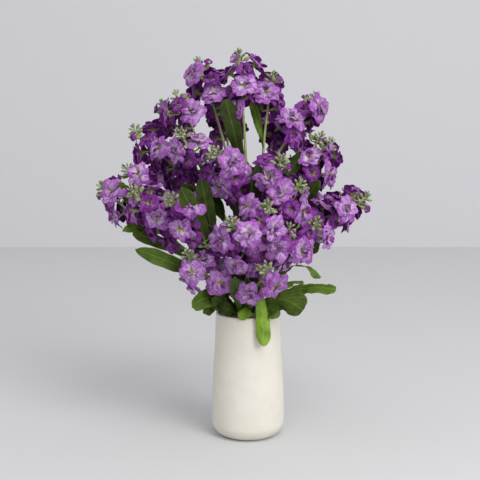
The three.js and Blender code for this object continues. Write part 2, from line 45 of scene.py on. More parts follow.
# Vase
# The vase is slip-cast stoneware with a matte cream glaze, widest low down, with a rounded foot, a plain lip
# and a bare foot ring. The wall is one closed skin that is turned round its own profile.
VASE_HEIGHT, VASE_WALL, VASE_FLOOR = 155 * MM, 4 * MM, 7 * MM
VASE_WIDEST_RADIUS, VASE_WIDEST_HEIGHT, VASE_RIM_RADIUS = 45.2 * MM, 25 * MM, 40.2 * MM
FOOT_ROUNDING, LIP_ROUNDING = 18 * MM, 1.2 * MM
FOOT_RECESS, FOOT_RING_WIDTH, FOOT_RING_BEVEL = 1.4 * MM, 3 * MM, 0.4 * MM
VASE_SIDES = 96


def paint(code):
    """A colour's hexadecimal code as a linear colour"""
    parts = [int(code[i:i + 2], 16) / 255 for i in (0, 2, 4)]
    return tuple(p / 12.92 if p <= 0.04045 else ((p + 0.055) / 1.055) ** 2.4 for p in parts) + (1.0,)


class Reading:
    """A value inside a tree of nodes, which can be added, multiplied and so on like a number"""

    def __init__(self, socket):
        self.socket = socket

    def worked(self, operation, *others):
        """The outcome of an operation on this value and others"""
        node = self.socket.id_data.nodes.new("ShaderNodeMath")
        node.operation = operation
        for place, value in zip(node.inputs, (self, *others)):
            feed(place, value)
        return Reading(node.outputs[0])

    __add__ = __radd__ = partialmethod(worked, "ADD")
    __sub__ = partialmethod(worked, "SUBTRACT")
    __mul__ = __rmul__ = partialmethod(worked, "MULTIPLY")
    __truediv__ = partialmethod(worked, "DIVIDE")
    __pow__ = partialmethod(worked, "POWER")

    def __rsub__(self, other):
        return self * -1 + other

    def __rtruediv__(self, other):
        return self ** -1 * other


def feed(place, value):
    """Sets a node's socket, or wires a reading to it"""
    if isinstance(value, Reading):
        place.id_data.links.new(value.socket, place)
    else:
        place.default_value = value


def fit(tree, kind, *feeds, out=0, **rest):
    """Adds a node, of the family that has its kind, and gives one of its outputs. Its sockets are fed in
    order, or by their names, which start with a capital. What doesn't is one of its settings."""
    family = next(
        name for name in ("GeometryNode", "ShaderNode", "FunctionNode") if hasattr(bpy.types, name + kind))
    node = tree.nodes.new(family + kind)
    named = {name: rest.pop(name) for name in list(rest) if name[0].isupper()}
    for name, value in rest.items():
        setattr(node, name, value)
    for place, value in zip(node.inputs, feeds):
        if value is not None:
            feed(place, value)
    for name, value in named.items():
        feed(node.inputs[name.replace("_", " ")], value)
    return Reading(node.outputs[out])


def start_tree(name, family, takes, gives):
    """A tree of nodes with named inputs and outputs, and the readings of its inputs"""
    tree = bpy.data.node_groups.new(name, family + "NodeTree")
    for way, labels in (("INPUT", takes), ("OUTPUT", gives)):
        for label, kind in labels.items():
            tree.interface.new_socket(label, in_out=way, socket_type="NodeSocket" + kind)
    given = tree.nodes.new("NodeGroupInput")
    return tree, {socket.name: Reading(socket) for socket in given.outputs if socket.name}


def give_out(tree, readings):
    """Wires readings to a tree's outputs, by their names"""
    result = tree.nodes.new("NodeGroupOutput")
    for label, reading in readings.items():
        feed(result.inputs[label], reading)


def floats(*labels):
    """Sockets that each take or give a plain number"""
    return dict.fromkeys(labels, "Float")


def start_shape(name, sizes):
    """A tree that makes one geometry from another by named sizes, and the readings of its inputs"""
    return start_tree(name, "Geometry", {"Geometry": "Geometry", **sizes}, {"Geometry": "Geometry"})


def end_shape(tree, geometry, material):
    """The last nodes of a tree: its faces are smooth, nothing is left as instances, and all has one finish"""
    whole = fit(tree, "SetShadeSmooth", Geometry=geometry)
    whole = fit(tree, "RealizeInstances", Geometry=whole)
    give_out(tree, {"Geometry": fit(tree, "SetMaterial", Geometry=whole, Material=material)})


def grow(name, tree, start, sizes):
    """The plain mesh piece that a tree makes from a start mesh and named sizes"""
    piece = bpy.data.objects.new(name, start)
    bpy.context.scene.collection.objects.link(piece)
    growth = piece.modifiers.new("growth", "NODES")
    growth.node_group = tree
    for socket in tree.interface.items_tree:
        if socket.in_out == "INPUT" and socket.name in sizes:
            growth[socket.identifier] = sizes[socket.name]
    depsgraph = bpy.context.evaluated_depsgraph_get()
    grown = bpy.data.meshes.new_from_object(
        piece.evaluated_get(depsgraph), preserve_all_data_layers=True, depsgraph=depsgraph)
    piece.modifiers.remove(growth)
    piece.data = grown
    grown.name = name
    bpy.data.meshes.remove(start)
    return piece


def line_mesh(name, points, edges, **values):
    """A mesh of points and edges, with a value for each point under each name"""
    mesh = bpy.data.meshes.new(name)
    mesh.from_pydata([tuple(point) for point in points], edges, [])
    for label, numbers in values.items():
        numbers = np.asarray(numbers, np.float32)
        kind = {3: "FLOAT_VECTOR", 4: "QUATERNION"}[numbers.shape[1]] if numbers.ndim > 1 else "FLOAT"
        attribute = mesh.attributes.new(label, kind, "POINT")
        attribute.data.foreach_set("vector" if kind == "FLOAT_VECTOR" else "value", numbers.ravel())
    return mesh


def in_a_row(count, first=0):
    """The edges that join points in a row"""
    return [(i, i + 1) for i in range(first, first + count - 1)]


def set_at(tree, geometry, spot):
    """Moves every point of a geometry to its own spot"""
    return fit(tree, "SetPosition", Geometry=geometry, Position=spot)


def turning_tree():
    """Turns a profile, a row of points in the XZ plane from axis to axis, into a closed round body"""
    tree, given = start_shape("turned_on_the_wheel", {"Sides": "Int", "Finish": "Material"})
    row = fit(tree, "AttributeDomainSize", Geometry=given["Geometry"])
    skin = fit(tree, "MeshGrid", Vertices_X=given["Sides"] + 1, Vertices_Y=row)
    index = fit(tree, "InputIndex")
    column = fit(tree, "IntegerMath", index, row, operation="DIVIDE_FLOOR")
    spot = fit(tree, "IntegerMath", index, row, operation="MODULO")
    place = fit(
        tree, "SampleIndex", Geometry=given["Geometry"], Value=fit(tree, "InputPosition"), Index=spot,
        data_type="FLOAT_VECTOR")
    angle = column * (2 * math.pi) / given["Sides"]
    skin = set_at(tree, skin, fit(tree, "VectorRotate", Vector=place, Angle=angle, rotation_type="Z_AXIS"))
    skin = fit(tree, "MergeByDistance", Geometry=skin, Distance=1e-6)
    end_shape(tree, skin, given["Finish"])
    return tree


def noise(tree, place, scale, detail, roughness=0.5, out=0):
    """Cloudy values, or colours, over a surface"""
    return fit(
        tree, "TexNoise", Vector=place, Scale=scale, Detail=detail, Roughness=roughness, out=out)


def ramp(tree, value, start, stop):
    """From 0 to 1 as a value goes from one limit to the other"""
    return fit(tree, "MapRange", Value=value, From_Min=start, From_Max=stop)


def tint(tree, color, share, other, how="MIX"):
    """Changes a colour by a share towards another, which may be given by its code"""
    other = paint(other) if isinstance(other, str) else other
    return fit(tree, "Mix", share, *[None] * 5, color, other, out=2, data_type="RGBA", blend_type=how)


def mottle_group():
    """Shader group: cloudy change between two colours over a surface, and fine grain for a bump"""
    group, given = start_tree(
        "mottle", "Shader", {"Light": "Color", "Dark": "Color", **floats("Cloud size", "Grain size")},
        {"Color": "Color", "Grain": "Float"})
    where = fit(group, "TexCoord", out="Object")
    cloud = ramp(group, noise(group, where, 1 / given["Cloud size"], 3.0, 0.55), 0.32, 0.68)
    give_out(group, {"Color": tint(group, given["Light"], cloud, given["Dark"]),
                     "Grain": noise(group, where, 1 / given["Grain size"], 2.0, 0.6)})
    return group


mottle = mottle_group()


def start_finish(name, **sockets):
    """A material whose shader has the given sockets set, and its tree"""
    material = bpy.data.materials.new(name)
    material.use_nodes = True
    shader = material.node_tree.nodes["Principled BSDF"]
    for label, value in sockets.items():
        shader.inputs[label.replace("_", " ")].default_value = value
    return material, material.node_tree, shader.inputs


def placed(tree, group, **sizes):
    """Places a shader group in a material with its own values, and gives the group's outputs"""
    node = tree.nodes.new("ShaderNodeGroup")
    node.node_tree = group
    for label, value in sizes.items():
        node.inputs[label.replace("_", " ")].default_value = value
    return [Reading(socket) for socket in node.outputs]


def mottled(tree, light, dark, cloud, grain):
    """The mottle's colour and grain, for two colours and the sizes of its clouds and its grain"""
    return placed(tree, mottle, Light=paint(light), Dark=paint(dark), Cloud_size=cloud, Grain_size=grain)


def raise_grain(tree, sockets, grain, height, strength):
    """Feeds a height to a material's normal through a bump"""
    feed(sockets["Normal"], fit(tree, "Bump", Height=grain, Distance=height, Strength=strength))


def glaze():
    """Matte cream glaze, and the bare body of the foot ring, which is where the height is next to nothing"""
    material, tree, sockets = start_finish("cream_glaze", Roughness=0.62, Specular_IOR_Level=0.35)
    color, grain = mottled(tree, "dad6cc", "d5d1c5", 0.02, 0.0011)
    height = fit(tree, "SeparateXYZ", fit(tree, "TexCoord", out="Object"), out="Z")
    feed(sockets["Base Color"], tint(tree, color, ramp(tree, height, 0.0010, 0.0003), "cfc6b2"))
    raise_grain(tree, sockets, grain, 0.00012, 0.5)
    return material


def vase_radius(z):
    """The vase's outer radius at a height"""
    share = np.maximum(z - VASE_WIDEST_HEIGHT, 0) / (VASE_HEIGHT - VASE_WIDEST_HEIGHT)
    return VASE_WIDEST_RADIUS + (VASE_RIM_RADIUS - VASE_WIDEST_RADIUS) * (1 - np.cos(np.pi * share)) / 2


def arc(middle, radius, start, stop, count):
    """Points of an arc in the profile's plane, by degrees from its radius's direction"""
    turns = np.radians(np.linspace(start, stop, count))
    return [(middle[0] + radius * math.cos(t), middle[1] + radius * math.sin(t)) for t in turns]


def vase_profile():
    """From under the foot, up the outside, over the lip and down the inside to the floor's middle"""
    flat = VASE_WIDEST_RADIUS - FOOT_ROUNDING
    recess = flat - FOOT_RING_WIDTH
    heights = np.linspace(VASE_WIDEST_HEIGHT, VASE_HEIGHT - LIP_ROUNDING, 22)
    inner = VASE_RIM_RADIUS - VASE_WALL + LIP_ROUNDING
    bend = FOOT_ROUNDING - VASE_WALL
    return [
        (0, FOOT_RECESS), (recess - FOOT_RECESS, FOOT_RECESS), (recess, 0.3 * FOOT_RECESS),
        (recess + FOOT_RING_BEVEL, 0),
        *arc((flat, FOOT_ROUNDING), FOOT_ROUNDING, -90, 0, 14),
        *[(vase_radius(z), z) for z in heights],
        *arc((VASE_RIM_RADIUS - LIP_ROUNDING, VASE_HEIGHT - LIP_ROUNDING), LIP_ROUNDING, 15, 90, 5),
        *arc((inner, VASE_HEIGHT - LIP_ROUNDING), LIP_ROUNDING, 90, 180, 6),
        *[(vase_radius(z) - VASE_WALL, z) for z in heights[-2::-3]],
        *arc((flat, VASE_FLOOR + bend), bend, 0, -80, 8), (0, VASE_FLOOR)]


profile = vase_profile()
outline = line_mesh("profile", [(r, 0, z) for r, z in profile], in_a_row(len(profile)))
vase = grow("ceramic_vase", turning_tree(), outline, {"Sides": VASE_SIDES, "Finish": glaze()})
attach(vase, "root")
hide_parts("vase")


# Water
# The vase is filled with tap water to about two thirds of its height, and the stems stand in it. The solid of
# the part is shown itself, because it already leaves room for every stem.
def clear_water():
    """Water is clear, with a faint tint"""
    material, _, _ = start_finish(
        "vase_water", Roughness=0.03, IOR=1.333, Transmission_Weight=0.9, Base_Color=paint("dfe9e6"))
    return material


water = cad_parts["water"]
water.data.materials.clear()
water.data.materials.append(clear_water())


# Stems
# Twelve cut stems stand slantwise in the vase and spread above it. Each is a soft ribbed green stalk whose
# branches end in heads, and every floret has a pedicel of its own that grows out of the stalk.

# The rings that the stems stand in. All lean the same way round: by so many degrees from the foot to the rim,
# where each is still so many short of its own angle.
OUTER_RING, INNER_RING = 26 * MM, 11.5 * MM
RING_TWIST, RIM_LAG = 60, 25
FOOT_HEIGHT = VASE_FLOOR + 1.05 * MM
STEM_BEND, BRANCH_BEND_FORK, BRANCH_BEND_TIP = 0.35, 0.3, 0.4
STEM_GIRTH = {"foot": 2.9 * MM, "rim": 2.7 * MM, "tip": 1.2 * MM}
BRANCH_GIRTH = {"fork": 2.1 * MM, "tip": 1.4 * MM}
STEM_MARKS, BRANCH_MARKS, STALK_SIDES, STALK_RIBS = 30, 20, 12, 0.06
# How far a stem's top leans out: the lean at a distance from the bunch's middle, the distance over which it
# grows by one, and its limits
LEAN, LEAN_FROM, LEAN_OVER, LEAN_LEAST, LEAN_MOST = 0.25, 40 * MM, 180 * MM, 0.15, 0.8
UP = np.array([0.0, 0.0, 1.0])

# A stem's ring and angle, and its heads: where the tip is in millimetres, open florets, half-open ones, and
# the share of the stem's length above the rim where the branch forks off. The first head is its own top.
STEMS = {
    "front": (OUTER_RING, 270, [
        ((21, -100, 298), 4, 1, 0), ((-19, -108, 280), 5, 1, 0.42), ((20, -98, 228), 4, 1, 0.1)]),
    "front_left": (OUTER_RING, 225, [
        ((-88, -86, 306), 4, 1, 0), ((-71, -80, 240), 4, 0, 0.12), ((-52, -62, 254), 3, 0, 0.3)]),
    "left": (OUTER_RING, 180, [
        ((-174, -24, 313), 3, 2, 0), ((-134, -66, 312), 4, 2, 0.44), ((-146, -12, 334), 4, 1, 0.5)]),
    "left_back": (OUTER_RING, 135, [((-120, 58, 352), 3, 1, 0), ((-122, 78, 290), 3, 0, 0.38)]),
    "back": (OUTER_RING, 90, [((-24, 112, 348), 3, 1, 0), ((0, 122, 276), 3, 0, 0.35)]),
    "back_right": (OUTER_RING, 45, [((58, 102, 338), 3, 1, 0), ((100, 88, 284), 3, 0, 0.35)]),
    "right": (OUTER_RING, 0, [
        ((99, 0, 364), 4, 2, 0), ((139, -30, 301), 5, 2, 0.42), ((126, 40, 300), 3, 0, 0.38)]),
    "front_right": (OUTER_RING, 315, [
        ((58, -84, 322), 4, 1, 0), ((79, -62, 275), 4, 2, 0.34), ((46, -80, 270), 3, 0, 0.25)]),
    "top_left": (INNER_RING, 190, [
        ((-85, -12, 420), 3, 1, 0), ((-138, 0, 380), 4, 2, 0.42), ((-80, -44, 378), 3, 0, 0.48),
        ((-106, 34, 410), 2, 1, 0.5)]),
    "top": (INNER_RING, 100, [((-60, 6, 460), 5, 2, 0), ((-34, 66, 416), 4, 1, 0.5)]),
    "top_right": (INNER_RING, 10, [
        ((30, 4, 444), 3, 1, 0), ((82, 10, 420), 4, 2, 0.5), ((42, 64, 400), 3, 0, 0.45),
        ((92, 56, 370), 3, 1, 0.4)]),
    "top_front": (INNER_RING, 280, [
        ((-11, -18, 468), 5, 2, 0), ((-38, -70, 358), 4, 1, 0.38), ((38, -52, 348), 4, 1, 0.41)]),
}

# Where a floret grows on its head, how far it stands out and how big it is, open or half-open. Under it its
# calyx starts and ends, as shares of its radius, and the calyx's mouth has a girth in millimetres.
OPEN = {"first": 15 * MM, "step": 12 * MM, "standoff": 15.5 * MM, "radius": 19 * MM,
        "calyx": 0.56, "throat": 0.02, "mouth": 2.75}
HALF_OPEN = {"first": 8.25 * MM, "step": 2 * MM, "standoff": 11 * MM, "radius": 6.5 * MM,
             "calyx": 1.15, "throat": 0.1, "mouth": 2.9}
# Smaller open florets fill in behind the others, nearer the stalk and further down it: as many as the head
# has open ones, and some more on all but the tallest heads, which are the loosest. They count from 20.
INNER = {**OPEN, "first": 21 * MM, "step": 9.5 * MM, "standoff": 10 * MM, "radius": 15 * MM, "more": 4}
INNER_NUMBER, INNER_SPACING, INNER_LOWEST, INNER_REACH, LOOSE_FROM = 20, 0.62, 222 * MM, 0.85, 400 * MM
LOWEST_ROOT, BLOOM_LIFT, SIZE_SPREAD, GOLDEN_ANGLE = 0.2, 0.4, 0.2, 137.5
FACE_OWN, FACE_OUT, FACE_UP = 0.9, 0.55, 0.06
BUNCH_MIDDLE, BUNCH_FLATTENING = 330 * MM, 0.3
BUD_BERTH, STEM_BERTH, STEM_POSTS = 9 * MM, 12 * MM, 16
EASE_ROUNDS, EASE_SPACING, EASE_SHARE, EASE_RETURN = 60, 0.89, 0.45, 0.08
# A pedicel's girths in millimetres, those of the calyx on its end but for its mouth, how far up the calyx
# each mark is, how purple the marks of both are, and how much a pedicel follows its stalk at first
PEDICEL_GIRTHS, CALYX_GIRTHS = [1.15, 1.0, 0.95, 0.95, 1.0, 1.1], [1.9, 2.3, 2.4]
CALYX_MARKS, PEDICEL_BLUSH = [0.18, 0.5, 0.85, 1.0], [0, 0, 0, 0, 0, 0, 0.05, 0.15, 0.3, 0.4]
PEDICEL_LIFT = 0.5


def chance(a, b, c):
    """A repeatable value from 0 to 1 for three whole numbers"""
    state = (a * 7919 + b * 104729 + c * 1299709 + 12345) % 4294967296
    for _ in range(3):
        state = (state * 1664525 + 1013904223) % 4294967296
    return state / 4294967296


def unit(vector):
    """Vectors of length 1 in the same directions"""
    return vector / np.linalg.norm(vector, axis=-1, keepdims=True)


def point_on(path, share):
    """Points of a Bezier path, given by its control points, at shares from 0 to 1"""
    share = np.asarray(share, float)[..., None]
    points = list(path)
    while len(points) > 1:
        points = [low + (high - low) * share for low, high in zip(points, points[1:])]
    return points[0]


def heading_on(path, share):
    """The directions of a Bezier path at shares from 0 to 1"""
    return unit(point_on([high - low for low, high in zip(path, path[1:])], share))


def length_of(path):
    """A path's length, over 200 chords"""
    return np.linalg.norm(np.diff(point_on(path, np.linspace(0, 1, 201)), axis=0), axis=1).sum()


def across(along):
    """Two directions square to a given one"""
    side = np.cross(UP, along)
    side = unit(side) if np.linalg.norm(side) > 1e-3 else np.array([0.0, 1.0, 0.0])
    return side, unit(np.cross(along, side))


def polar(radius, degrees, z):
    """The point at a radius, an angle and a height"""
    angle = math.radians(degrees)
    return np.array([radius * math.cos(angle), radius * math.sin(angle), z])


def tip_heading(tip):
    """A stem's top leans out from the bunch, and more so far out"""
    out = math.hypot(tip[0], tip[1])
    lean = min(max(LEAN + (out - LEAN_FROM) / LEAN_OVER, LEAN_LEAST), LEAN_MOST)
    return unit(np.array([tip[0] / out * lean, tip[1] / out * lean, 1.0]))


def stem_path(name):
    """A stem's foot, and its path above the rim"""
    ring, angle, heads = STEMS[name]
    foot = polar(ring, angle - RIM_LAG - RING_TWIST, FOOT_HEIGHT)
    rim = polar(ring, angle - RIM_LAG, VASE_HEIGHT)
    tip = np.array(heads[0][0]) * MM
    reach = STEM_BEND * np.linalg.norm(tip - rim)
    return foot, [rim, rim + unit(rim - foot) * reach, tip - tip_heading(tip) * reach, tip]


def branch_path(above, head):
    """A branch curves away from its fork to its own tip"""
    fork, tip = point_on(above, head[3]), np.array(head[0]) * MM
    reach = np.linalg.norm(tip - fork)
    from_fork = heading_on(above, head[3]) * BRANCH_BEND_FORK * reach
    return [fork, fork + from_fork, tip - tip_heading(tip) * BRANCH_BEND_TIP * reach, tip]


def place_floret(head, index, kind, step):
    """One floret of a head: where it grows, where it would stand if alone, and its size"""
    down = kind["first"] + kind["step"] * step
    share = max(1 - down / head["length"], LOWEST_ROOT)
    root, along = point_on(head["path"], share), heading_on(head["path"], share)
    side, other = across(along)
    turn = math.radians(GOLDEN_ANGLE * index + 360 * chance(head["number"], 0, 1))
    out = side * math.cos(turn) + other * math.sin(turn) + along * BLOOM_LIFT
    size = 1 + SIZE_SPREAD * (chance(head["number"], index, 2) - 0.5)
    return {"number": head["number"], "index": index, "kind": kind, "root": root, "along": along,
            "place": root + out * kind["standoff"], "radius": size * kind["radius"], "loose": True}


def ease_apart(heads, florets, spacing):
    """Pushes crowded florets off each other and off other stems, but for those that hold their place"""
    place = np.array([floret["place"] for floret in florets])
    home, radius = place.copy(), np.array([floret["radius"] for floret in florets])
    owner = np.array([floret["number"] for floret in florets])
    loose = np.array([floret["loose"] for floret in florets])
    shares = np.arange(STEM_POSTS + 1) / STEM_POSTS
    posts = np.concatenate([point_on(head["path"], shares) for head in heads])
    others = owner[:, None] != np.repeat([head["number"] for head in heads], STEM_POSTS + 1)[None]
    for _ in range(EASE_ROUNDS):
        shift = (home - place) * EASE_RETURN
        for points, berth, counts in (
                (place, (radius[:, None] + radius[None]) * spacing, ~np.eye(len(place), dtype=bool)),
                (posts, STEM_BERTH, others)):
            away = place[:, None] - points[None]
            far = np.linalg.norm(away, axis=-1)
            short = np.where(counts, np.maximum(berth - far, 0), 0) * EASE_SHARE
            shift += (away / np.maximum(far, 1e-9)[..., None] * short[..., None]).sum(1)
        place[loose] += shift[loose]
    for floret, spot in zip(florets, place):
        floret["place"], floret["loose"] = spot, False


def face_outwards(floret):
    """Turns a floret away from its stalk, out of the bunch and a little up, and spins it about its face"""
    place = floret["place"]
    outward = unit(np.array([place[0], place[1], (place[2] - BUNCH_MIDDLE) * BUNCH_FLATTENING]))
    floret["face"] = unit(unit(place - floret["root"]) * FACE_OWN + outward * FACE_OUT + UP * FACE_UP)
    floret["spin"] = 2 * math.pi * chance(floret["number"], floret["index"], 3)


def lay_out():
    """Every head with its path, and every floret with its place, its face and its turn about that"""
    heads = []
    for name, (_, _, plans) in STEMS.items():
        _, above = stem_path(name)
        for plan in plans:
            path = branch_path(above, plan) if heads and heads[-1]["stem"] == name else above
            heads.append({"stem": name, "plan": plan, "path": path, "length": length_of(path),
                          "number": len(heads)})
    florets = []
    for head in heads:
        _, blooms, halves, _ = head["plan"]
        florets += [place_floret(head, index, HALF_OPEN, index) for index in range(halves)]
        florets += [place_floret(head, halves + step, OPEN, step) for step in range(blooms)]
        florets.append({"number": head["number"], "kind": None, "place": head["path"][-1],
                        "radius": BUD_BERTH, "loose": False})
    ease_apart(heads, florets, EASE_SPACING)
    for head in heads:
        room = int((INNER_REACH * head["length"] - INNER["first"]) / INNER["step"])
        more = INNER["more"] if head["path"][-1][2] < LOOSE_FROM else 0
        count = min(head["plan"][1] + more, room)
        inner = [place_floret(head, INNER_NUMBER + step, INNER, step) for step in range(count)]
        florets += [floret for floret in inner if floret["place"][2] > INNER_LOWEST]
    ease_apart(heads, florets, INNER_SPACING)
    florets = [floret for floret in florets if floret["kind"]]
    for floret in florets:
        face_outwards(floret)
    return heads, florets


heads, florets = lay_out()


def carried(tree, name, kind="FLOAT"):
    """The values that the points of a mesh carry under a name"""
    return fit(tree, "InputNamedAttribute", Name=name, data_type=kind)


def scaled(tree, way, share):
    """A place or a direction, scaled"""
    return fit(tree, "VectorMath", way, Scale=share, operation="SCALE")


def stalk_tree():
    """Clothes paths in round stalks: the start mesh's edges are the paths, and each point has its girth"""
    tree, given = start_shape("stalks_along_paths", {"Sides": "Int", "Ribs": "Float", "Finish": "Material"})
    path = fit(tree, "MeshToCurve", Mesh=given["Geometry"])
    ring = fit(tree, "CurvePrimitiveCircle", Resolution=given["Sides"], Radius=1.0)
    odd = fit(tree, "IntegerMath", fit(tree, "InputIndex"), 2, operation="MODULO")
    ring = set_at(tree, ring, scaled(tree, fit(tree, "InputPosition"), 1 - given["Ribs"] * odd))
    skin = fit(
        tree, "CurveToMesh", Curve=path, Profile_Curve=ring, Scale=carried(tree, "girth"), Fill_Caps=True)
    end_shape(tree, skin, given["Finish"])
    return tree


def painted(tree, name):
    """The values that a surface carries under a name, in a material"""
    return fit(tree, "Attribute", out="Fac", attribute_name=name)


def stalk_finish():
    """Pale matte green, mottled, that warms where the attribute blush says so"""
    material, tree, sockets = start_finish("green_stalk", Roughness=0.55, Specular_IOR_Level=0.15)
    color, grain = mottled(tree, "aeb47c", "87965a", 0.009, 0.0008)
    feed(sockets["Base Color"], tint(tree, color, painted(tree, "blush"), "7d5a78"))
    raise_grain(tree, sockets, grain, 0.0002, 0.35)
    return material


def floret_stalk(floret):
    """A pedicel with the calyx on its end, as points, girths and blush"""
    kind, size, face, root = floret["kind"], floret["radius"], floret["face"], floret["root"]
    throat = floret["place"] - face * size * kind["throat"]
    foot = floret["place"] - face * size * kind["calyx"]
    reach = np.linalg.norm(foot - root) / 3
    start = unit(unit(foot - root) + floret["along"] * PEDICEL_LIFT)
    marks = np.linspace(0, 1, len(PEDICEL_GIRTHS))
    pedicel = point_on([root, root + start * reach, foot - face * reach, foot], marks)
    calyx = [foot + (throat - foot) * share for share in CALYX_MARKS]
    girths = np.array([*PEDICEL_GIRTHS, *CALYX_GIRTHS, kind["mouth"]]) * MM
    return [*pedicel, *calyx], girths, PEDICEL_BLUSH


def stem_lines(name):
    """The paths of a stem, its branches and its florets' pedicels, with girths"""
    foot, above = stem_path(name)
    marks = np.linspace(0, 1, STEM_MARKS)
    main = [foot, (foot + above[0]) / 2, *point_on(above, marks)]
    girth = [STEM_GIRTH["foot"], STEM_GIRTH["foot"],
             *(STEM_GIRTH["rim"] + (STEM_GIRTH["tip"] - STEM_GIRTH["rim"]) * marks)]
    lines = [(main, np.array(girth), np.zeros(len(main)))]
    marks = np.linspace(0, 1, BRANCH_MARKS)
    for head in heads:
        if head["stem"] != name:
            continue
        if head["plan"][3]:
            girth = BRANCH_GIRTH["fork"] + (BRANCH_GIRTH["tip"] - BRANCH_GIRTH["fork"]) * marks
            lines.append((point_on(head["path"], marks), girth, np.zeros(len(marks))))
        lines += [floret_stalk(floret) for floret in florets if floret["number"] == head["number"]]
    return lines


def joined_lines(name, lines):
    """Several paths as one start mesh"""
    points, girths, blushes, edges = [], [], [], []
    for line, girth, blush in lines:
        edges += in_a_row(len(line), len(points))
        points += list(line)
        girths += list(girth)
        blushes += list(blush)
    return line_mesh(name, points, edges, girth=girths, blush=blushes)


stalks = stalk_tree()
stalk_green = stalk_finish()
for name in STEMS:
    stalk = grow(f"stalk_{name}", stalks, joined_lines(name, stem_lines(name)),
                 {"Sides": STALK_SIDES, "Ribs": STALK_RIBS, "Finish": stalk_green})
    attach(stalk, "root")
    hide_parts(f"stem_{name}")


# Leaves
# Soft leaves grow out of the stems, with a pale midrib, a shallow keel and a wavy, lightly scalloped edge.
# The older ones inside the bunch are spoon-shaped and dark olive, which is partly painted shade of the
# bunch's inside. The fresher ones that spill over the vase's lip are strap-shaped and a lighter green, partly
# painted light.
LEAF_KEEL, LEAF_WAVE, LEAF_WIDEST, LEAF_THICKNESS, LEAF_RUFFLE = 0.22, 2.6 * MM, 0.76, 0.06, 9 * MM
LEAF_FOOT, LEAF_SPOON, LEAF_STRAP, LEAF_ROUNDING, LEAF_END = 0.22, 2.5, 1.4, 2.9, 1.002
LEAF_SCALLOP, LEAF_SCALLOP_TURNS, LEAF_MARKS, LEAF_POINTS_ACROSS = 0.03, 26, 40, 18
LEAF_NEAREST_MARK, LEAF_MARK_CROWDING = 0.992, 1.6
LEAF_WAVE_FROM, LEAF_WAVE_STEP, LEAF_WAVE_TURN = 0.18, 0.27, 2.4
RIPPLE_SCALE, RIB_WOBBLE_SCALE = 110.0, 240.0

# The stem that bears a leaf, the share of that stem's length above the rim, the leaf's tip and width in
# millimetres, how far its middle arches up, the quarter turns of its blade, and the freshness of its green,
# which
# also paints shade: low values leave the leaves inside the bunch dark olive.
LEAVES = [
    ("top_front", 0.5, (-27, -34, 416), 20, 4, 0.5, 0), ("top_front", 0.3, (12, -62, 340), 16, 4, 0, 0),
    ("front_left", 0.5, (-70, -100, 322), 22, 4, 1.1, 0), ("top_right", 0.7, (4, -8, 414), 11, 8, 0.6, 0.3),
    ("left", 0.6, (-146, -52, 262), 12, 14, 0.9, 0.3), ("left", 0.26, (-138, -34, 258), 15, 12, 0.75, 0.2),
    ("front_left", 0.2, (-129, -76, 245), 18, 4, 1, 0.25),
    ("front_left", 0.04, (-66, -76, 178), 24, 22, 1.1, 0.25),
    ("left", 0.03, (-52, -46, 162), 17, 22, 1.1, 0.15), ("front", 0.02, (-3, -47, 156), 17, 18, 0.25, 0.9),
    ("front_right", 0.03, (19, -51, 124), 17, 74, 0.25, 1.0),
    ("front_right", 0.04, (33, -47, 157), 17, 20, 0.6, 0.3),
    ("front_right", 0.08, (64, -66, 171), 30, 20, 0.9, 0.2),
    ("right", 0.08, (104, -48, 192), 17, 14, 0.6, 0.5),
    ("right", 0.16, (88, -14, 200), 11, 40, 0.2, 0.4), ("right", 0.3, (84, -46, 244), 15, 6, 1, 0.2),
    ("front", 0.03, (-16, -58, 206), 17, 2, 0.4, 0.5), ("left_back", 0.08, (-88, 42, 190), 20, 18, 0, 0.3),
    ("left_back", 0.3, (-128, 20, 262), 16, 10, 0, 0.2), ("back", 0.05, (-18, 80, 172), 22, 24, 0, 0.6),
    ("back", 0.2, (34, 96, 222), 18, 14, 0, 0.4), ("back", 0.3, (-44, 104, 246), 16, 12, 0, 0.3),
    ("back_right", 0.06, (70, 58, 180), 20, 22, 0, 0.5), ("back_right", 0.25, (104, 62, 236), 17, 10, 0, 0.3),
    ("right", 0.05, (84, 26, 178), 19, 22, 0, 0.5),
]

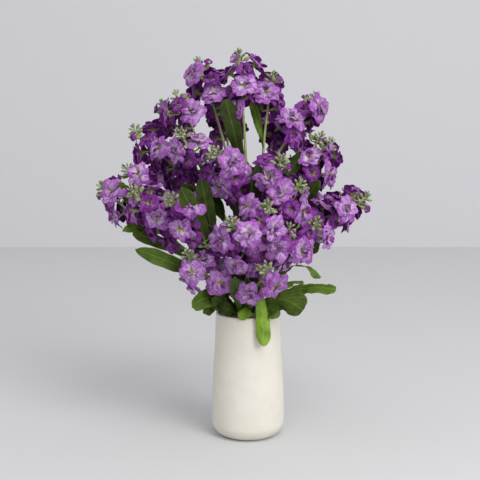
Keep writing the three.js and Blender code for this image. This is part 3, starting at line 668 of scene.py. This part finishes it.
# Smaller inner leaves, which the solids of the part leave out
LEAVES += [
    ("front_left", 0.03, (-42, -54, 184), 18, 6, 0.65, 0.1), ("front", 0.04, (8, -56, 190), 15, 6, 1.4, 0.1),
    ("right", 0.5, (82, -48, 322), 14, 4, 0, 0.1), ("left", 0.75, (-152, -50, 318), 13, 4, 1.5, 0.15),
    ("top_left", 0.4, (-46, -26, 300), 19, 4, 0.4, 0), ("front_right", 0.4, (36, -58, 292), 17, 4, 1.15, 0),
    ("top_right", 0.4, (66, -6, 352), 17, 6, 1, 0.05), ("front_right", 0.02, (44, -40, 172), 17, 10, 1, 0.1),
    ("top", 0.3, (-20, 10, 300), 18, 4, 0.5, 0), ("front", 0.3, (-6, -60, 262), 16, 4, 1, 0),
    ("left", 0.35, (-96, -30, 286), 17, 4, 1, 0), ("front_left", 0.02, (-30, -44, 196), 15, 4, 0.5, 0),
    ("top_front", 0.05, (-26, -40, 214), 16, 4, 1, 0.05), ("top_right", 0.08, (26, -30, 222), 16, 4, 1, 0.05),
    ("top_left", 0.02, (-28, -4, 204), 20, 3, 0.85, 0.05), ("top", 0.02, (-8, 2, 212), 20, 3, 0.35, 0),
    ("top_right", 0.03, (16, -6, 208), 20, 3, 0.1, 0.05), ("front", 0.03, (-2, -46, 203), 17, 3, 0.3, 0.35),
    ("front_left", 0.02, (-40, -26, 182), 16, 8, 0.8, 0.05),
    ("front_left", 0.02, (-44, -44, 170), 15, 10, 1.2, 0.1),
    ("right", 0.03, (44, -30, 186), 18, 6, 1.5, 0.05),
    ("front_right", 0.02, (34, -50, 166), 15, 10, 0.85, 0.1),
    ("back", 0.03, (6, 12, 216), 20, 3, 0.05, 0), ("left", 0.0, (-2, 4, 166), 20, 2, 1, 0.05),
    ("front_left", 0.0, (0, -31, 167), 16, 2, 0.85, 0.1), ("top_front", 0.0, (22, -26, 170), 16, 2, 0.9, 0.1),
    ("top_left", 0.0, (-38, -6, 172), 16, 4, 0.9, 0.05), ("front", 0.0, (-37, -28, 168), 18, 3, 1.15, 0.05),
    ("front_left", 0.3, (-75, -117, 318), 20, 14, 0.1, 0.1),
    ("front_left", 0.32, (-53, -114, 328), 18, 8, 1.5, 0),
    ("front", 0.02, (-14, -90, 214), 17, 3, 0.2, 0.12),
]


def leaf_profile(share, fresh, start):
    """Half a leaf's width along its length, as a share: a narrow foot, widest past the middle, a round tip.
    Older leaves are spoon-shaped and young ones strap-shaped, and all have a slightly scalloped edge."""
    swell = np.sin(np.minimum(share / LEAF_WIDEST, 1) * np.pi / 2) ** (LEAF_SPOON - LEAF_STRAP * fresh)
    rising = LEAF_FOOT + (1 - LEAF_FOOT) * swell
    past = np.maximum(share - LEAF_WIDEST, 0) / (LEAF_END - LEAF_WIDEST)
    falling = np.sqrt(1 - past ** LEAF_ROUNDING)
    scallop = 1 + LEAF_SCALLOP * np.sin(LEAF_SCALLOP_TURNS * share + start)
    return np.where(share < LEAF_WIDEST, rising, falling) * scallop


def leaf_line(index, leaf):
    """A leaf's midrib, with the half width, the way up, the wave and the share of its length at each point"""
    name, at, tip, width, rise, turn, fresh = leaf
    above = stem_path(name)[1]
    base, tip = point_on(above, at), np.array(tip) * MM
    path = [base, (base + tip) / 2 + UP * rise * MM, tip]
    marks = 1 - np.linspace(LEAF_NEAREST_MARK, 0, LEAF_MARKS) ** LEAF_MARK_CROWDING
    spots = np.linspace(0, 1, 101)
    gone = np.linalg.norm(np.diff(point_on(path, spots), axis=0), axis=1).cumsum()
    shares = np.interp(marks * gone[-1], [0, *gone], spots)
    along = heading_on(path, shares)
    sideways = unit(np.cross(tip - base, heading_on(above, at)))
    sideways = unit(sideways - along * (along @ sideways)[:, None])
    turn *= np.pi / 2
    turned_side = sideways * math.cos(turn) + np.cross(along, sideways) * math.sin(turn)
    half = width * MM / 2 * leaf_profile(marks, fresh, 6 * chance(index, 2, 1))
    step = (marks - LEAF_WAVE_FROM) / LEAF_WAVE_STEP
    wave = LEAF_WAVE * np.sin(LEAF_WAVE_TURN * step + 6 * chance(index, 1, 1))
    return point_on(path, shares), half, np.cross(along, turned_side), wave, marks, np.full(LEAF_MARKS, fresh)


def carry(tree, geometry, name, value, domain="POINT"):
    """Gives a geometry's points, faces or instances a value to carry under a name"""
    return fit(tree, "StoreNamedAttribute", Geometry=geometry, Name=name, Value=value,
               data_type="FLOAT", domain=domain)


def split(tree, place):
    """The X, Y and Z of a place"""
    return [Reading(socket) for socket in fit(tree, "SeparateXYZ", place).socket.node.outputs]


def push(tree, geometry, way, amount):
    """Moves every point of a geometry by an amount along a direction"""
    return fit(tree, "SetPosition", Geometry=geometry, Offset=scaled(tree, way, amount))


def leaf_tree():
    """Leaf blades along their midribs: a thin folded section is swept along each, and its edges are waved"""
    tree, given = start_shape("leaf_blades", {
        "Points across": "Int", **floats("Keel", "Thickness", "Ruffle"), "Finish": "Material"})
    way_up = carried(tree, "way_up", "FLOAT_VECTOR")
    midrib = fit(tree, "MeshToCurve", Mesh=given["Geometry"])
    midrib = fit(tree, "SetCurveNormal", Curve=midrib, Normal=way_up, mode="FREE")
    section = fit(tree, "CurvePrimitiveCircle", Resolution=given["Points across"], Radius=1.0)
    x, y, _ = split(tree, fit(tree, "InputPosition"))
    section = carry(tree, section, "across", x)
    section = set_at(tree, section, fit(
        tree, "CombineXYZ", y * given["Thickness"] + given["Keel"] * x.worked("ABSOLUTE"), x))
    blade = fit(
        tree, "CurveToMesh", Curve=midrib, Profile_Curve=section, Scale=carried(tree, "half"), Fill_Caps=True)
    side = carried(tree, "across")
    ripple = noise(tree, fit(tree, "InputPosition"), RIPPLE_SCALE, 1.0) - 0.5
    lift = carried(tree, "wave") * side + ripple * given["Ruffle"] * side ** 2
    end_shape(tree, push(tree, blade, way_up, lift), given["Finish"])
    return tree


def rib_group():
    """Shader group: ribs that fan from a blade's midline, with its pale middle and rim, by the blade's own
    attributes across and along. It gives a height, a mask of the ribs and a mask of the rim."""
    group, given = start_tree(
        "ribs_of_a_blade", "Shader", floats("Rib count", "Slant", "Midrib width", "Rim width"),
        floats("Height", "Ribs", "Rim"))
    side, along = painted(group, "across").worked("ABSOLUTE"), painted(group, "along")
    wobble = noise(group, fit(group, "TexCoord", out="Object"), RIB_WOBBLE_SCALE, 1.0)
    rows = ((along - side * given["Slant"]) * given["Rib count"] + wobble * 1.4) * (2 * math.pi)
    wave = (rows.worked("COSINE") * 0.5 + 0.5) ** 3
    middle = ramp(group, side, given["Midrib width"], 0.0)
    give_out(group, {"Height": wave * -0.4 + middle * 0.6, "Ribs": wave * 0.4 + middle,
                     "Rim": ramp(group, side, 1 - given["Rim width"], 1.0)})
    return group


ribs = rib_group()


def leaf_finish():
    """Dark olive to bright green by the leaf's own freshness, the dark olive partly painted shade inside the
    bunch and the bright green partly painted light at the lip, with paler midrib, side ribs and rim
    """
    material, tree, sockets = start_finish("leaf_green", Roughness=0.55, Specular_IOR_Level=0.15)
    # Painted shade: the dark olive is partly the shade inside the bunch, and the bright green partly painted
    # light on leaves at the lip
    old_in_shade, grain = mottled(tree, "303e14", "1e290b", 0.012, 0.0009)
    young_in_light, _ = mottled(tree, "84a636", "5a8020", 0.012, 0.0009)
    fresh = painted(tree, "fresh")
    height, rib_mask, rim = placed(
        tree, ribs, Rib_count=9.0, Slant=0.35, Midrib_width=0.1, Rim_width=0.1)
    color = tint(tree, old_in_shade, fresh, young_in_light)
    color = tint(tree, color, (rib_mask * (fresh * 0.4 + 0.15)).worked("MINIMUM", 1.0), "97ad5c")
    feed(sockets["Base Color"], tint(tree, color, rim * fresh * 0.4, "9db45f"))
    raise_grain(tree, sockets, height + grain * 0.3, 0.0005, 0.5)
    return material


blades = leaf_tree()
leaf_green = leaf_finish()
for name in STEMS:
    own = [leaf_line(index, leaf) for index, leaf in enumerate(LEAVES) if leaf[0] == name]
    if not own:
        continue
    points, half, way_up, wave, marks, fresh = [np.concatenate(column) for column in zip(*own)]
    edges = [(i, i + 1) for i in range(len(points) - 1) if (i + 1) % LEAF_MARKS]
    start = line_mesh("midribs", points, edges, half=half, way_up=way_up, wave=wave, along=marks, fresh=fresh)
    leaves = grow(f"leaves_{name}", blades, start, {
        "Points across": LEAF_POINTS_ACROSS, "Keel": LEAF_KEEL, "Thickness": LEAF_THICKNESS,
        "Ruffle": LEAF_RUFFLE, "Finish": leaf_green})
    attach(leaves, "root")


# Buds
# A cluster of closed green buds sits on every tip, each an oval of four grey-green sepals on a short stalk
# that grows out of the stem's end, and some show purple at the point.
BUD_LENGTH, BUD_WIDTH, BUD_SEAM, BUD_TAPER = 5.8 * MM, 3.3 * MM, 0.1, 0.22
BUD_STALK, BUD_STALK_LENGTH = 0.5 * MM, 6 * MM
# Each ring of buds: how many, where their stalks leave the stem's tip, how long those are, how far they lean,
# in degrees, and how big the buds are. Then how much a bud's turn, lean, reach, size and purple stray, and
# how much purpler each ring is than the one above it.
BUD_RINGS = [
    (1, 0.0, 5.6, 8, 0.85), (3, -1.0, 6.4, 38, 0.9), (5, -4.0, 7.4, 62, 1.0), (4, -9.0, 9.0, 68, 1.5)]
STRAY_TURN, STRAY_LEAN, STRAY_REACH, STRAY_SIZE, STRAY_PURPLE = 0.6, 16, 0.2, 0.25, 0.8
PURPLE_BY_RING = 0.3


def stance(face, spin=0.0):
    """The turn that sets a shape's up on a face, as a quaternion"""
    side, other = across(face)
    first = side * math.cos(spin) + other * math.sin(spin)
    return tuple(Matrix((first, np.cross(face, first), face)).transposed().to_quaternion())


def bud_points(head):
    """Where a head's buds stand, how they are turned, how big they are and how purple"""
    tip, along = point_on(head["path"], 1.0), heading_on(head["path"], 1.0)
    side, other = across(along)
    spin = 2 * math.pi * chance(head["number"], 0, 5)
    spots = []
    for ring, (count, start, reach, lean, size) in enumerate(BUD_RINGS):
        for i in range(count):
            luck = [chance(head["number"], i, 20 + 10 * ring + k) - 0.5 for k in range(4)]
            turn = spin + 2 * math.pi * (i + 0.5 * ring) / count + STRAY_TURN * luck[0]
            away = side * math.cos(turn) + other * math.sin(turn)
            tilt = math.radians(lean + STRAY_LEAN * luck[1])
            face = along * math.cos(tilt) + away * math.sin(tilt)
            place = tip + along * start * MM + face * reach * (1 + STRAY_REACH * luck[2]) * MM
            purple = max(0.0, luck[3] * STRAY_PURPLE + PURPLE_BY_RING * (ring - 1))
            spots.append((place, stance(face), size * (1 + STRAY_SIZE * luck[0]), purple))
    return spots


def gathered(tree, geometries):
    """Several geometries as one"""
    both = tree.nodes.new("GeometryNodeJoinGeometry")
    for geometry in geometries:
        feed(both.inputs[0], geometry)
    return Reading(both.outputs[0])


def bud_tree():
    """Sets an oval bud with four seams on each point, turned and sized by the point's own values"""
    tree, given = start_shape("buds_on_points", {
        **floats("Bud length", "Bud width", "Seam depth", "Taper", "Stalk", "Stalk length"),
        "Finish": "Material"})
    x, y, z = split(tree, fit(tree, "InputPosition"))
    seam = 1 - given["Seam depth"] * ((y.worked("ARCTAN2", x) * 4).worked("COSINE") * 0.5 + 0.5)
    round_out = given["Bud width"] * 0.5 * seam * (1 - z * given["Taper"])
    bud = fit(tree, "MeshUVSphere", Segments=8, Rings=6, Radius=1.0)
    bud = set_at(tree, bud, fit(
        tree, "CombineXYZ", x * round_out, y * round_out, z * given["Bud length"] * 0.5))
    bud = carry(tree, bud, "point", z)
    stalk = fit(tree, "MeshCylinder", Vertices=5, Radius=given["Stalk"], Depth=given["Stalk length"])
    stalk = fit(tree, "Transform", Geometry=stalk, Translation=fit(
        tree, "CombineXYZ", 0.0, 0.0, (given["Stalk length"] + given["Bud length"] * 0.8) * -0.5))
    cluster = fit(
        tree, "InstanceOnPoints", Points=given["Geometry"], Instance=gathered(tree, (stalk, bud)),
        Rotation=carried(tree, "stance", "QUATERNION"), Scale=carried(tree, "size"))
    end_shape(tree, fit(tree, "RealizeInstances", Geometry=cluster), given["Finish"])
    return tree


def bud_finish():
    """Downy grey-green, with purple at the point of some"""
    material, tree, sockets = start_finish("bud_green", Roughness=0.7, Specular_IOR_Level=0.1)
    color, grain = mottled(tree, "acb38e", "5d6944", 0.003, 0.0006)
    share = painted(tree, "purple") * ramp(tree, painted(tree, "point"), 0.0, 0.9) * 1.8
    feed(sockets["Base Color"], tint(tree, color, share.worked("MINIMUM", 1.0), "a672b2"))
    raise_grain(tree, sockets, grain, 0.0002, 0.4)
    return material


clusters = bud_tree()
bud_green = bud_finish()
for name in STEMS:
    spots = [spot for head in heads if head["stem"] == name for spot in bud_points(head)]
    place, turn, size, purple = zip(*spots)
    start = line_mesh("buds", place, [], stance=turn, size=size, purple=purple)
    buds = grow(f"buds_{name}", clusters, start, {
        "Bud length": BUD_LENGTH, "Bud width": BUD_WIDTH, "Seam depth": BUD_SEAM, "Taper": BUD_TAPER,
        "Stalk": BUD_STALK, "Stalk length": BUD_STALK_LENGTH, "Finish": bud_green})
    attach(buds, "root")


# Florets
# A double floret grows out of its calyx as a rosette of five broad outer petals, with smaller crumpled ones
# that stand up inside them round a small yellow-green eye. In half-open ones the petals are still rolled
# together, or flaring.

# Each layer, from the outside, as shares of the floret's radius: petals, reach, rise, how far a petal's bend
# stands out and up, width, cup, and how much it wraps round the floret's middle.
OPEN_LAYERS = [
    (5, 1.14, -0.10, 0.46, 0.40, 0.92, -0.10, 0.0),
    (5, 1.00, 0.16, 0.38, 0.44, 0.82, -0.12, 0.0),
    (5, 0.72, 0.38, 0.24, 0.46, 0.66, -0.10, 0.0),
    (3, 0.38, 0.50, 0.10, 0.36, 0.50, 0.14, 0.2),
]
ROLLED_LAYERS = [
    (4, 0.35, 0.93, 1.38, 0.2, 1.25, 0.05, 0.95),
    (3, 0.2, 0.9, 1.1, 0.3, 1.0, 0.05, 0.95),
]
FLARING_LAYERS = [
    (5, 1.05, 1.0, 0.35, 0.95, 1.25, 0.0, 0.6),
    (4, 0.7, 1.2, 0.3, 0.9, 0.95, 0.0, 0.6),
]
PETAL_ROOT, PETAL_TIGHTEST, PETAL_NOTCH, PETAL_CORNERS = 0.12, 0.12, 0.09, 0.3
PETAL_WIDTHS = [(0, 0.16), (0.2, 0.26), (0.42, 0.62), (0.66, 0.96), (0.86, 1), (1, 0.72)]
PETAL_SIZES = {"Petal thickness": 0.02, "Untidiness": 0.26, "Crumple": 9 * MM, "Crumple size": 7 * MM}
HALF_OPEN_CRUMPLE, CREASE_ANGLE = 1.0 * MM, 1.2
# How far a petal of full untidiness leans, in radians about its axes, and how much it shrinks at most
PETAL_LEAN, PETAL_SHRINK = (0.9, 0.9, 0.3), 0.5


def widths_along(tree, share):
    """A petal's width at a share of its length, read off a curve through its known widths"""
    widths = tree.nodes.new("ShaderNodeFloatCurve")
    curve = widths.mapping.curves[0]
    curve.points[0].location, curve.points[1].location = PETAL_WIDTHS[0], PETAL_WIDTHS[-1]
    for spot in PETAL_WIDTHS[1:-1]:
        curve.points.new(*spot)
    widths.mapping.update()
    feed(widths.inputs["Value"], share)
    return Reading(widths.outputs[0])


def petal_tree():
    """One petal as a thin closed blade that runs along +Y, by shares of the floret's radius"""
    tree, given = start_shape("petal", floats(
        "Reach", "Rise", "Bend out", "Bend up", "Width", "Cup", "Wrap", "Thickness"))
    grid = fit(tree, "MeshGrid", Size_X=2.0, Size_Y=1.0, Vertices_X=7, Vertices_Y=6)
    x, y, _ = split(tree, fit(tree, "InputPosition"))
    grid = carry(tree, carry(tree, grid, "across", x), "along", y + 0.5)
    side, share = carried(tree, "across"), carried(tree, "along")
    edge = side ** 2
    at = share * (1 - edge * share * PETAL_CORNERS - (1 - edge) ** 4 * share ** 4 * PETAL_NOTCH)
    half = widths_along(tree, share) * given["Width"] * 0.5
    bend, past = at * (1 - at) * 2, (1 - at * 2) * 2
    out = bend * given["Bend out"] + at ** 2 * given["Reach"]
    up = bend * given["Bend up"] + at ** 2 * given["Rise"]
    out_way = past * given["Bend out"] + at * 2 * given["Reach"]
    up_way = past * given["Bend up"] + at * 2 * given["Rise"]
    way = (out_way ** 2 + up_way ** 2) ** 0.5 + 1e-4
    cup = edge * given["Cup"]
    radial = out - cup * up_way / way
    angle = side * half / radial.worked("MAXIMUM", PETAL_TIGHTEST)
    wrap = given["Wrap"]
    blade = set_at(tree, grid, fit(
        tree, "CombineXYZ", side * half * (1 - wrap) + radial * angle.worked("SINE") * wrap,
        radial * (1 - wrap) + radial * angle.worked("COSINE") * wrap,
        up + cup * out_way / way))
    rim = fit(tree, "Compare", fit(tree, "InputMeshEdgeNeighbors"), 1.5, operation="LESS_THAN")
    inside = 1 - fit(tree, "Math", rim, operation="CEIL")
    under = push(tree, blade, fit(tree, "InputNormal"), inside * given["Thickness"] * -1)
    under = carry(tree, fit(tree, "FlipFaces", Mesh=under), "back", 1.0, "FACE")
    give_out(tree, {"Geometry": fit(
        tree, "MergeByDistance", Geometry=gathered(tree, (under, blade)), Distance=1e-5)})
    return tree


petal = petal_tree()


def petal_layer(tree, given, number, layer):
    """Sets one layer's petals round each point, which is a floret's middle, each a little out of line, and
    gives them with a tone for each"""
    # After the number of petals, a layer's row has the petal's sizes in the order of its tree's sockets
    count, *shape = layer
    blade = tree.nodes.new("GeometryNodeGroup")
    blade.node_tree = petal
    for socket, value in zip(list(blade.inputs)[1:], shape):
        socket.default_value = value
    feed(blade.inputs["Thickness"], given["Petal thickness"])
    copies = tree.nodes.new("GeometryNodeDuplicateElements")
    copies.domain = "POINT"
    feed(copies.inputs["Geometry"], given["Geometry"])
    copies.inputs["Amount"].default_value = count

    def stray(low, high, offset):
        """A random number, or three of them, for each petal"""
        seed = given["Seed"] + (10 * number + offset)
        if isinstance(low, tuple):
            return fit(tree, "RandomValue", low, high, Seed=seed, data_type="FLOAT_VECTOR")
        return fit(tree, "RandomValue", None, None, low, high, Seed=seed, out=1)

    loose = given["Untidiness"] * (1 + 0.5 * number)
    angle = (Reading(copies.outputs["Duplicate Index"]) + number * 0.5) * (2 * math.pi / count)
    around = fit(tree, "AxisAngleToRotation", Axis=(0, 0, 1), Angle=angle + stray(-1.0, 1.0, 1) * loose)
    least = tuple(-most for most in PETAL_LEAN)
    lean = fit(tree, "EulerToRotation", scaled(tree, stray(least, PETAL_LEAN, 2), loose))
    turn = carried(tree, "stance", "QUATERNION")
    for step in (around, lean):
        turn = fit(tree, "RotateRotation", Rotation=turn, Rotate_By=step, rotation_space="LOCAL")
    size = carried(tree, "size") * (1 - stray(0.0, PETAL_SHRINK, 3) * given["Untidiness"])
    petals = fit(
        tree, "InstanceOnPoints", Points=Reading(copies.outputs["Geometry"]),
        Instance=Reading(blade.outputs[0]), Rotation=turn, Scale=size)
    return petals, stray(0.0, 1.0, 4)


def floret_tree(name, layers):
    """Sets every layer's petals round each point, and crumples their edges"""
    tree, given = start_shape(name, {
        **floats("Petal thickness", "Untidiness", "Crumple", "Crumple size"),
        "Seed": "Int", "Finish": "Material"})
    every = []
    for number, layer in enumerate(layers):
        petals, tone = petal_layer(tree, given, number, layer)
        petals = carry(tree, petals, "tone", tone, "INSTANCE")
        every.append(carry(tree, petals, "depth", number / (len(layers) - 1), "INSTANCE"))
    whole = fit(tree, "RealizeInstances", Geometry=gathered(tree, every))
    cloud = noise(tree, fit(tree, "InputPosition"), 1 / given["Crumple size"], 1.5, out="Color")
    way = fit(tree, "VectorMath", cloud, (0.5, 0.5, 0.5), operation="SUBTRACT")
    edge = 0.45 + 0.55 * carried(tree, "across") ** 2
    whole = push(tree, whole, way, given["Crumple"] * carried(tree, "along") ** 1.5 * edge)
    crease = fit(
        tree, "Compare", fit(tree, "InputMeshEdgeAngle"), CREASE_ANGLE, operation="GREATER_THAN")
    whole = fit(
        tree, "SetShadeSmooth", Geometry=whole, Selection=crease, Shade_Smooth=False, domain="EDGE")
    end_shape(tree, whole, given["Finish"])
    return tree


def petal_finish():
    """Purple that pales towards the petal's middle, with painted shade in its creases, deeper veins, tips and
    backs, deeper outer petals and a yellow-green foot. A floret's own value darkens it whole: painted shade
    on inner florets, and a random deeper tone on the others."""
    material, tree, sockets = start_finish("purple_petal", Roughness=0.75, Specular_IOR_Level=0.05)
    along, tone, depth = painted(tree, "along"), painted(tree, "tone"), painted(tree, "depth")
    height, rib_mask, rim = placed(
        tree, ribs, Rib_count=7.0, Slant=-0.9, Midrib_width=0.12, Rim_width=0.25)
    folds = noise(tree, fit(
        tree, "CombineXYZ", painted(tree, "across") * 2.4 + tone * 17, along * 1.6, tone * 9), 1.6, 2.0)
    color, grain = mottled(tree, "e0cae7", "ac6cbe", 0.005, 0.0007)
    # In turn: each petal's own tone, the outer layers, the pale middle, tips, painted shade in the creases,
    # veins and backs
    for share, code in (
            (tone * tone * 0.6, "9a3cac"),
            ((1 - depth) * 0.34, "8a34a0"),
            (ramp(tree, along, 0.74, 0.28) * (0.95 - tone * 0.45), "f2eaf5"),
            (ramp(tree, along + rim * 0.3, 0.72, 1.15) * 0.45, "983caa"),
            # Painted shade: darker where the fold bump is lowest, in the hollows between folds
            (ramp(tree, folds, 0.52, 0.34) * 0.65, "882498"),
            (rib_mask * 0.18, "6f2480"),
            (painted(tree, "back") * 0.8, "8e249c")):
        color = tint(tree, color, share, code)
    # Painted shade: florets inside the bunch are darkened whole, and the others get a random deeper tone of
    # up to half as much
    color = tint(tree, color, painted(tree, "deep"), "be86c3", "MULTIPLY")
    foot = ramp(tree, along - depth * 0.25, 0.26, 0.04)
    feed(sockets["Base Color"], tint(tree, color, foot * 0.9, "c4cc60"))
    raise_grain(tree, sockets, folds + height * 0.2 + grain * 0.1, 0.002, 0.8)
    return material


rosette = floret_tree("double_floret", OPEN_LAYERS)
rolled = floret_tree("half_open_floret", ROLLED_LAYERS)
flaring = floret_tree("opening_floret", FLARING_LAYERS)
petal_purple = petal_finish()


def deepness(floret):
    """Inner florets are darkened fully, as painted shade inside the bunch, and the others up to half as much
    by a random deeper tone
    """
    return 1.0 if floret["kind"] is INNER else 0.5 * chance(floret["number"], floret["index"], 4)


def floret_points(own):
    """Florets as a start mesh: where each petal layer starts, how the floret is turned, and its radius"""
    # Each floret also carries how far it is darkened: painted shade for inner florets, a random deeper tone
    # for the others
    return line_mesh(
        "florets", [floret["place"] - floret["face"] * PETAL_ROOT * floret["radius"] for floret in own], [],
        stance=[stance(floret["face"], floret["spin"]) for floret in own],
        size=[floret["radius"] for floret in own], deep=[deepness(floret) for floret in own])


for head in heads:
    own = [floret for floret in florets if floret["number"] == head["number"]]
    label = f"{head['stem']}_{1 + sum(h['stem'] == head['stem'] for h in heads[:head['number']])}"
    blooms = [floret for floret in own if floret["kind"] is not HALF_OPEN]
    petals = grow(f"petals_{label}", rosette, floret_points(blooms), {
        **PETAL_SIZES, "Seed": head["number"], "Finish": petal_purple})
    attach(petals, "root")
    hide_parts(f"florets_{label}")
    halves = [floret for floret in own if floret["kind"] is HALF_OPEN]
    for kind, tree, odd in (("half_open", rolled, 1), ("opening", flaring, 0)):
        few = [floret for floret in halves if (head["number"] + floret["index"]) % 2 == odd]
        if few:
            furled = grow(f"{kind}_{label}", tree, floret_points(few), {
                **PETAL_SIZES, "Crumple": HALF_OPEN_CRUMPLE, "Seed": head["number"], "Finish": petal_purple})
            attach(furled, "root")


# Studio
# A pale grey table and wall, a large soft light from the front right, two small ones near the bunch, and a
# camera that looks down a little from the front, as in the photograph.

# How far behind the vase the wall stands, how far both sheets reach to the sides, and how high the wall is
WALL, SHEET_REACH, WALL_HEIGHT = 1.631, 6, 5
# Each light's place, where it is aimed, its width in metres, its power in watts and its colour
LIGHTS = {
    "key": ((3.6, -4.6, 3.4), (0, 0, 0.25), 4.0, 160, (1.0, 0.99, 0.98)),
    "near": ((1.0, -1.5, 1.0), (0.1, -0.3, 0), 0.7, 5, (1.0, 1.0, 1.0)),
    "over": ((0.3, -0.8, 1.4), (0.2, -0.6, 0), 0.6, 6, (1.0, 1.0, 1.0)),
}
SKY_COLOR, SKY_STRENGTH = (0.9, 0.9, 0.905, 1), 0.89
CAMERA_PLACE, CAMERA_DIP = (-0.010, -1.200, 0.410), 7.83
SENSOR_WIDTH, FOCAL_PIXELS, PICTURE_PIXELS = 36, 986, 480


def sheet_of(name, corners, color, roughness):
    """A plain flat sheet of the studio"""
    mesh = bpy.data.meshes.new(name)
    mesh.from_pydata(corners, [], [(0, 1, 2, 3)])
    material, _, _ = start_finish(name, Base_Color=paint(color), Roughness=roughness, Specular_IOR_Level=0.1)
    mesh.materials.append(material)
    sheet = bpy.data.objects.new(name, mesh)
    bpy.context.scene.collection.objects.link(sheet)


table = [(-SHEET_REACH, -SHEET_REACH, 0), (SHEET_REACH, -SHEET_REACH, 0), (SHEET_REACH, WALL, 0),
         (-SHEET_REACH, WALL, 0)]
sheet_of("table", table, "cdcdce", 0.9)
wall = [(-SHEET_REACH, WALL, 0), (SHEET_REACH, WALL, 0), (SHEET_REACH, WALL, WALL_HEIGHT),
        (-SHEET_REACH, WALL, WALL_HEIGHT)]
sheet_of("wall", wall, "d0d0d4", 0.95)

for name, (place, aim, size, power, color) in LIGHTS.items():
    lamp = bpy.data.lights.new(name, "AREA")
    lamp.shape, lamp.size, lamp.energy, lamp.color = "DISK", size, power, color
    light = bpy.data.objects.new(name, lamp)
    place = np.array(place, float)
    away = unit(place - np.array(aim, float))
    turn = Matrix((*across(away), away)).transposed().to_4x4()
    light.matrix_world = Matrix.Translation(place) @ turn
    bpy.context.scene.collection.objects.link(light)
world = bpy.data.worlds.new("studio")
world.use_nodes = True
sky = world.node_tree.nodes["Background"].inputs
sky["Color"].default_value, sky["Strength"].default_value = SKY_COLOR, SKY_STRENGTH
bpy.context.scene.world = world
bpy.context.scene.view_settings.view_transform = "Standard"

lens = bpy.data.cameras.new("camera")
lens.sensor_width, lens.lens = SENSOR_WIDTH, SENSOR_WIDTH * FOCAL_PIXELS / PICTURE_PIXELS
lens.clip_start, lens.clip_end = 0.05, 20
camera = bpy.data.objects.new("camera", lens)
camera.location = CAMERA_PLACE
camera.rotation_euler = (math.radians(90 - CAMERA_DIP), 0, 0)
bpy.context.scene.collection.objects.link(camera)
bpy.context.scene.camera = camera
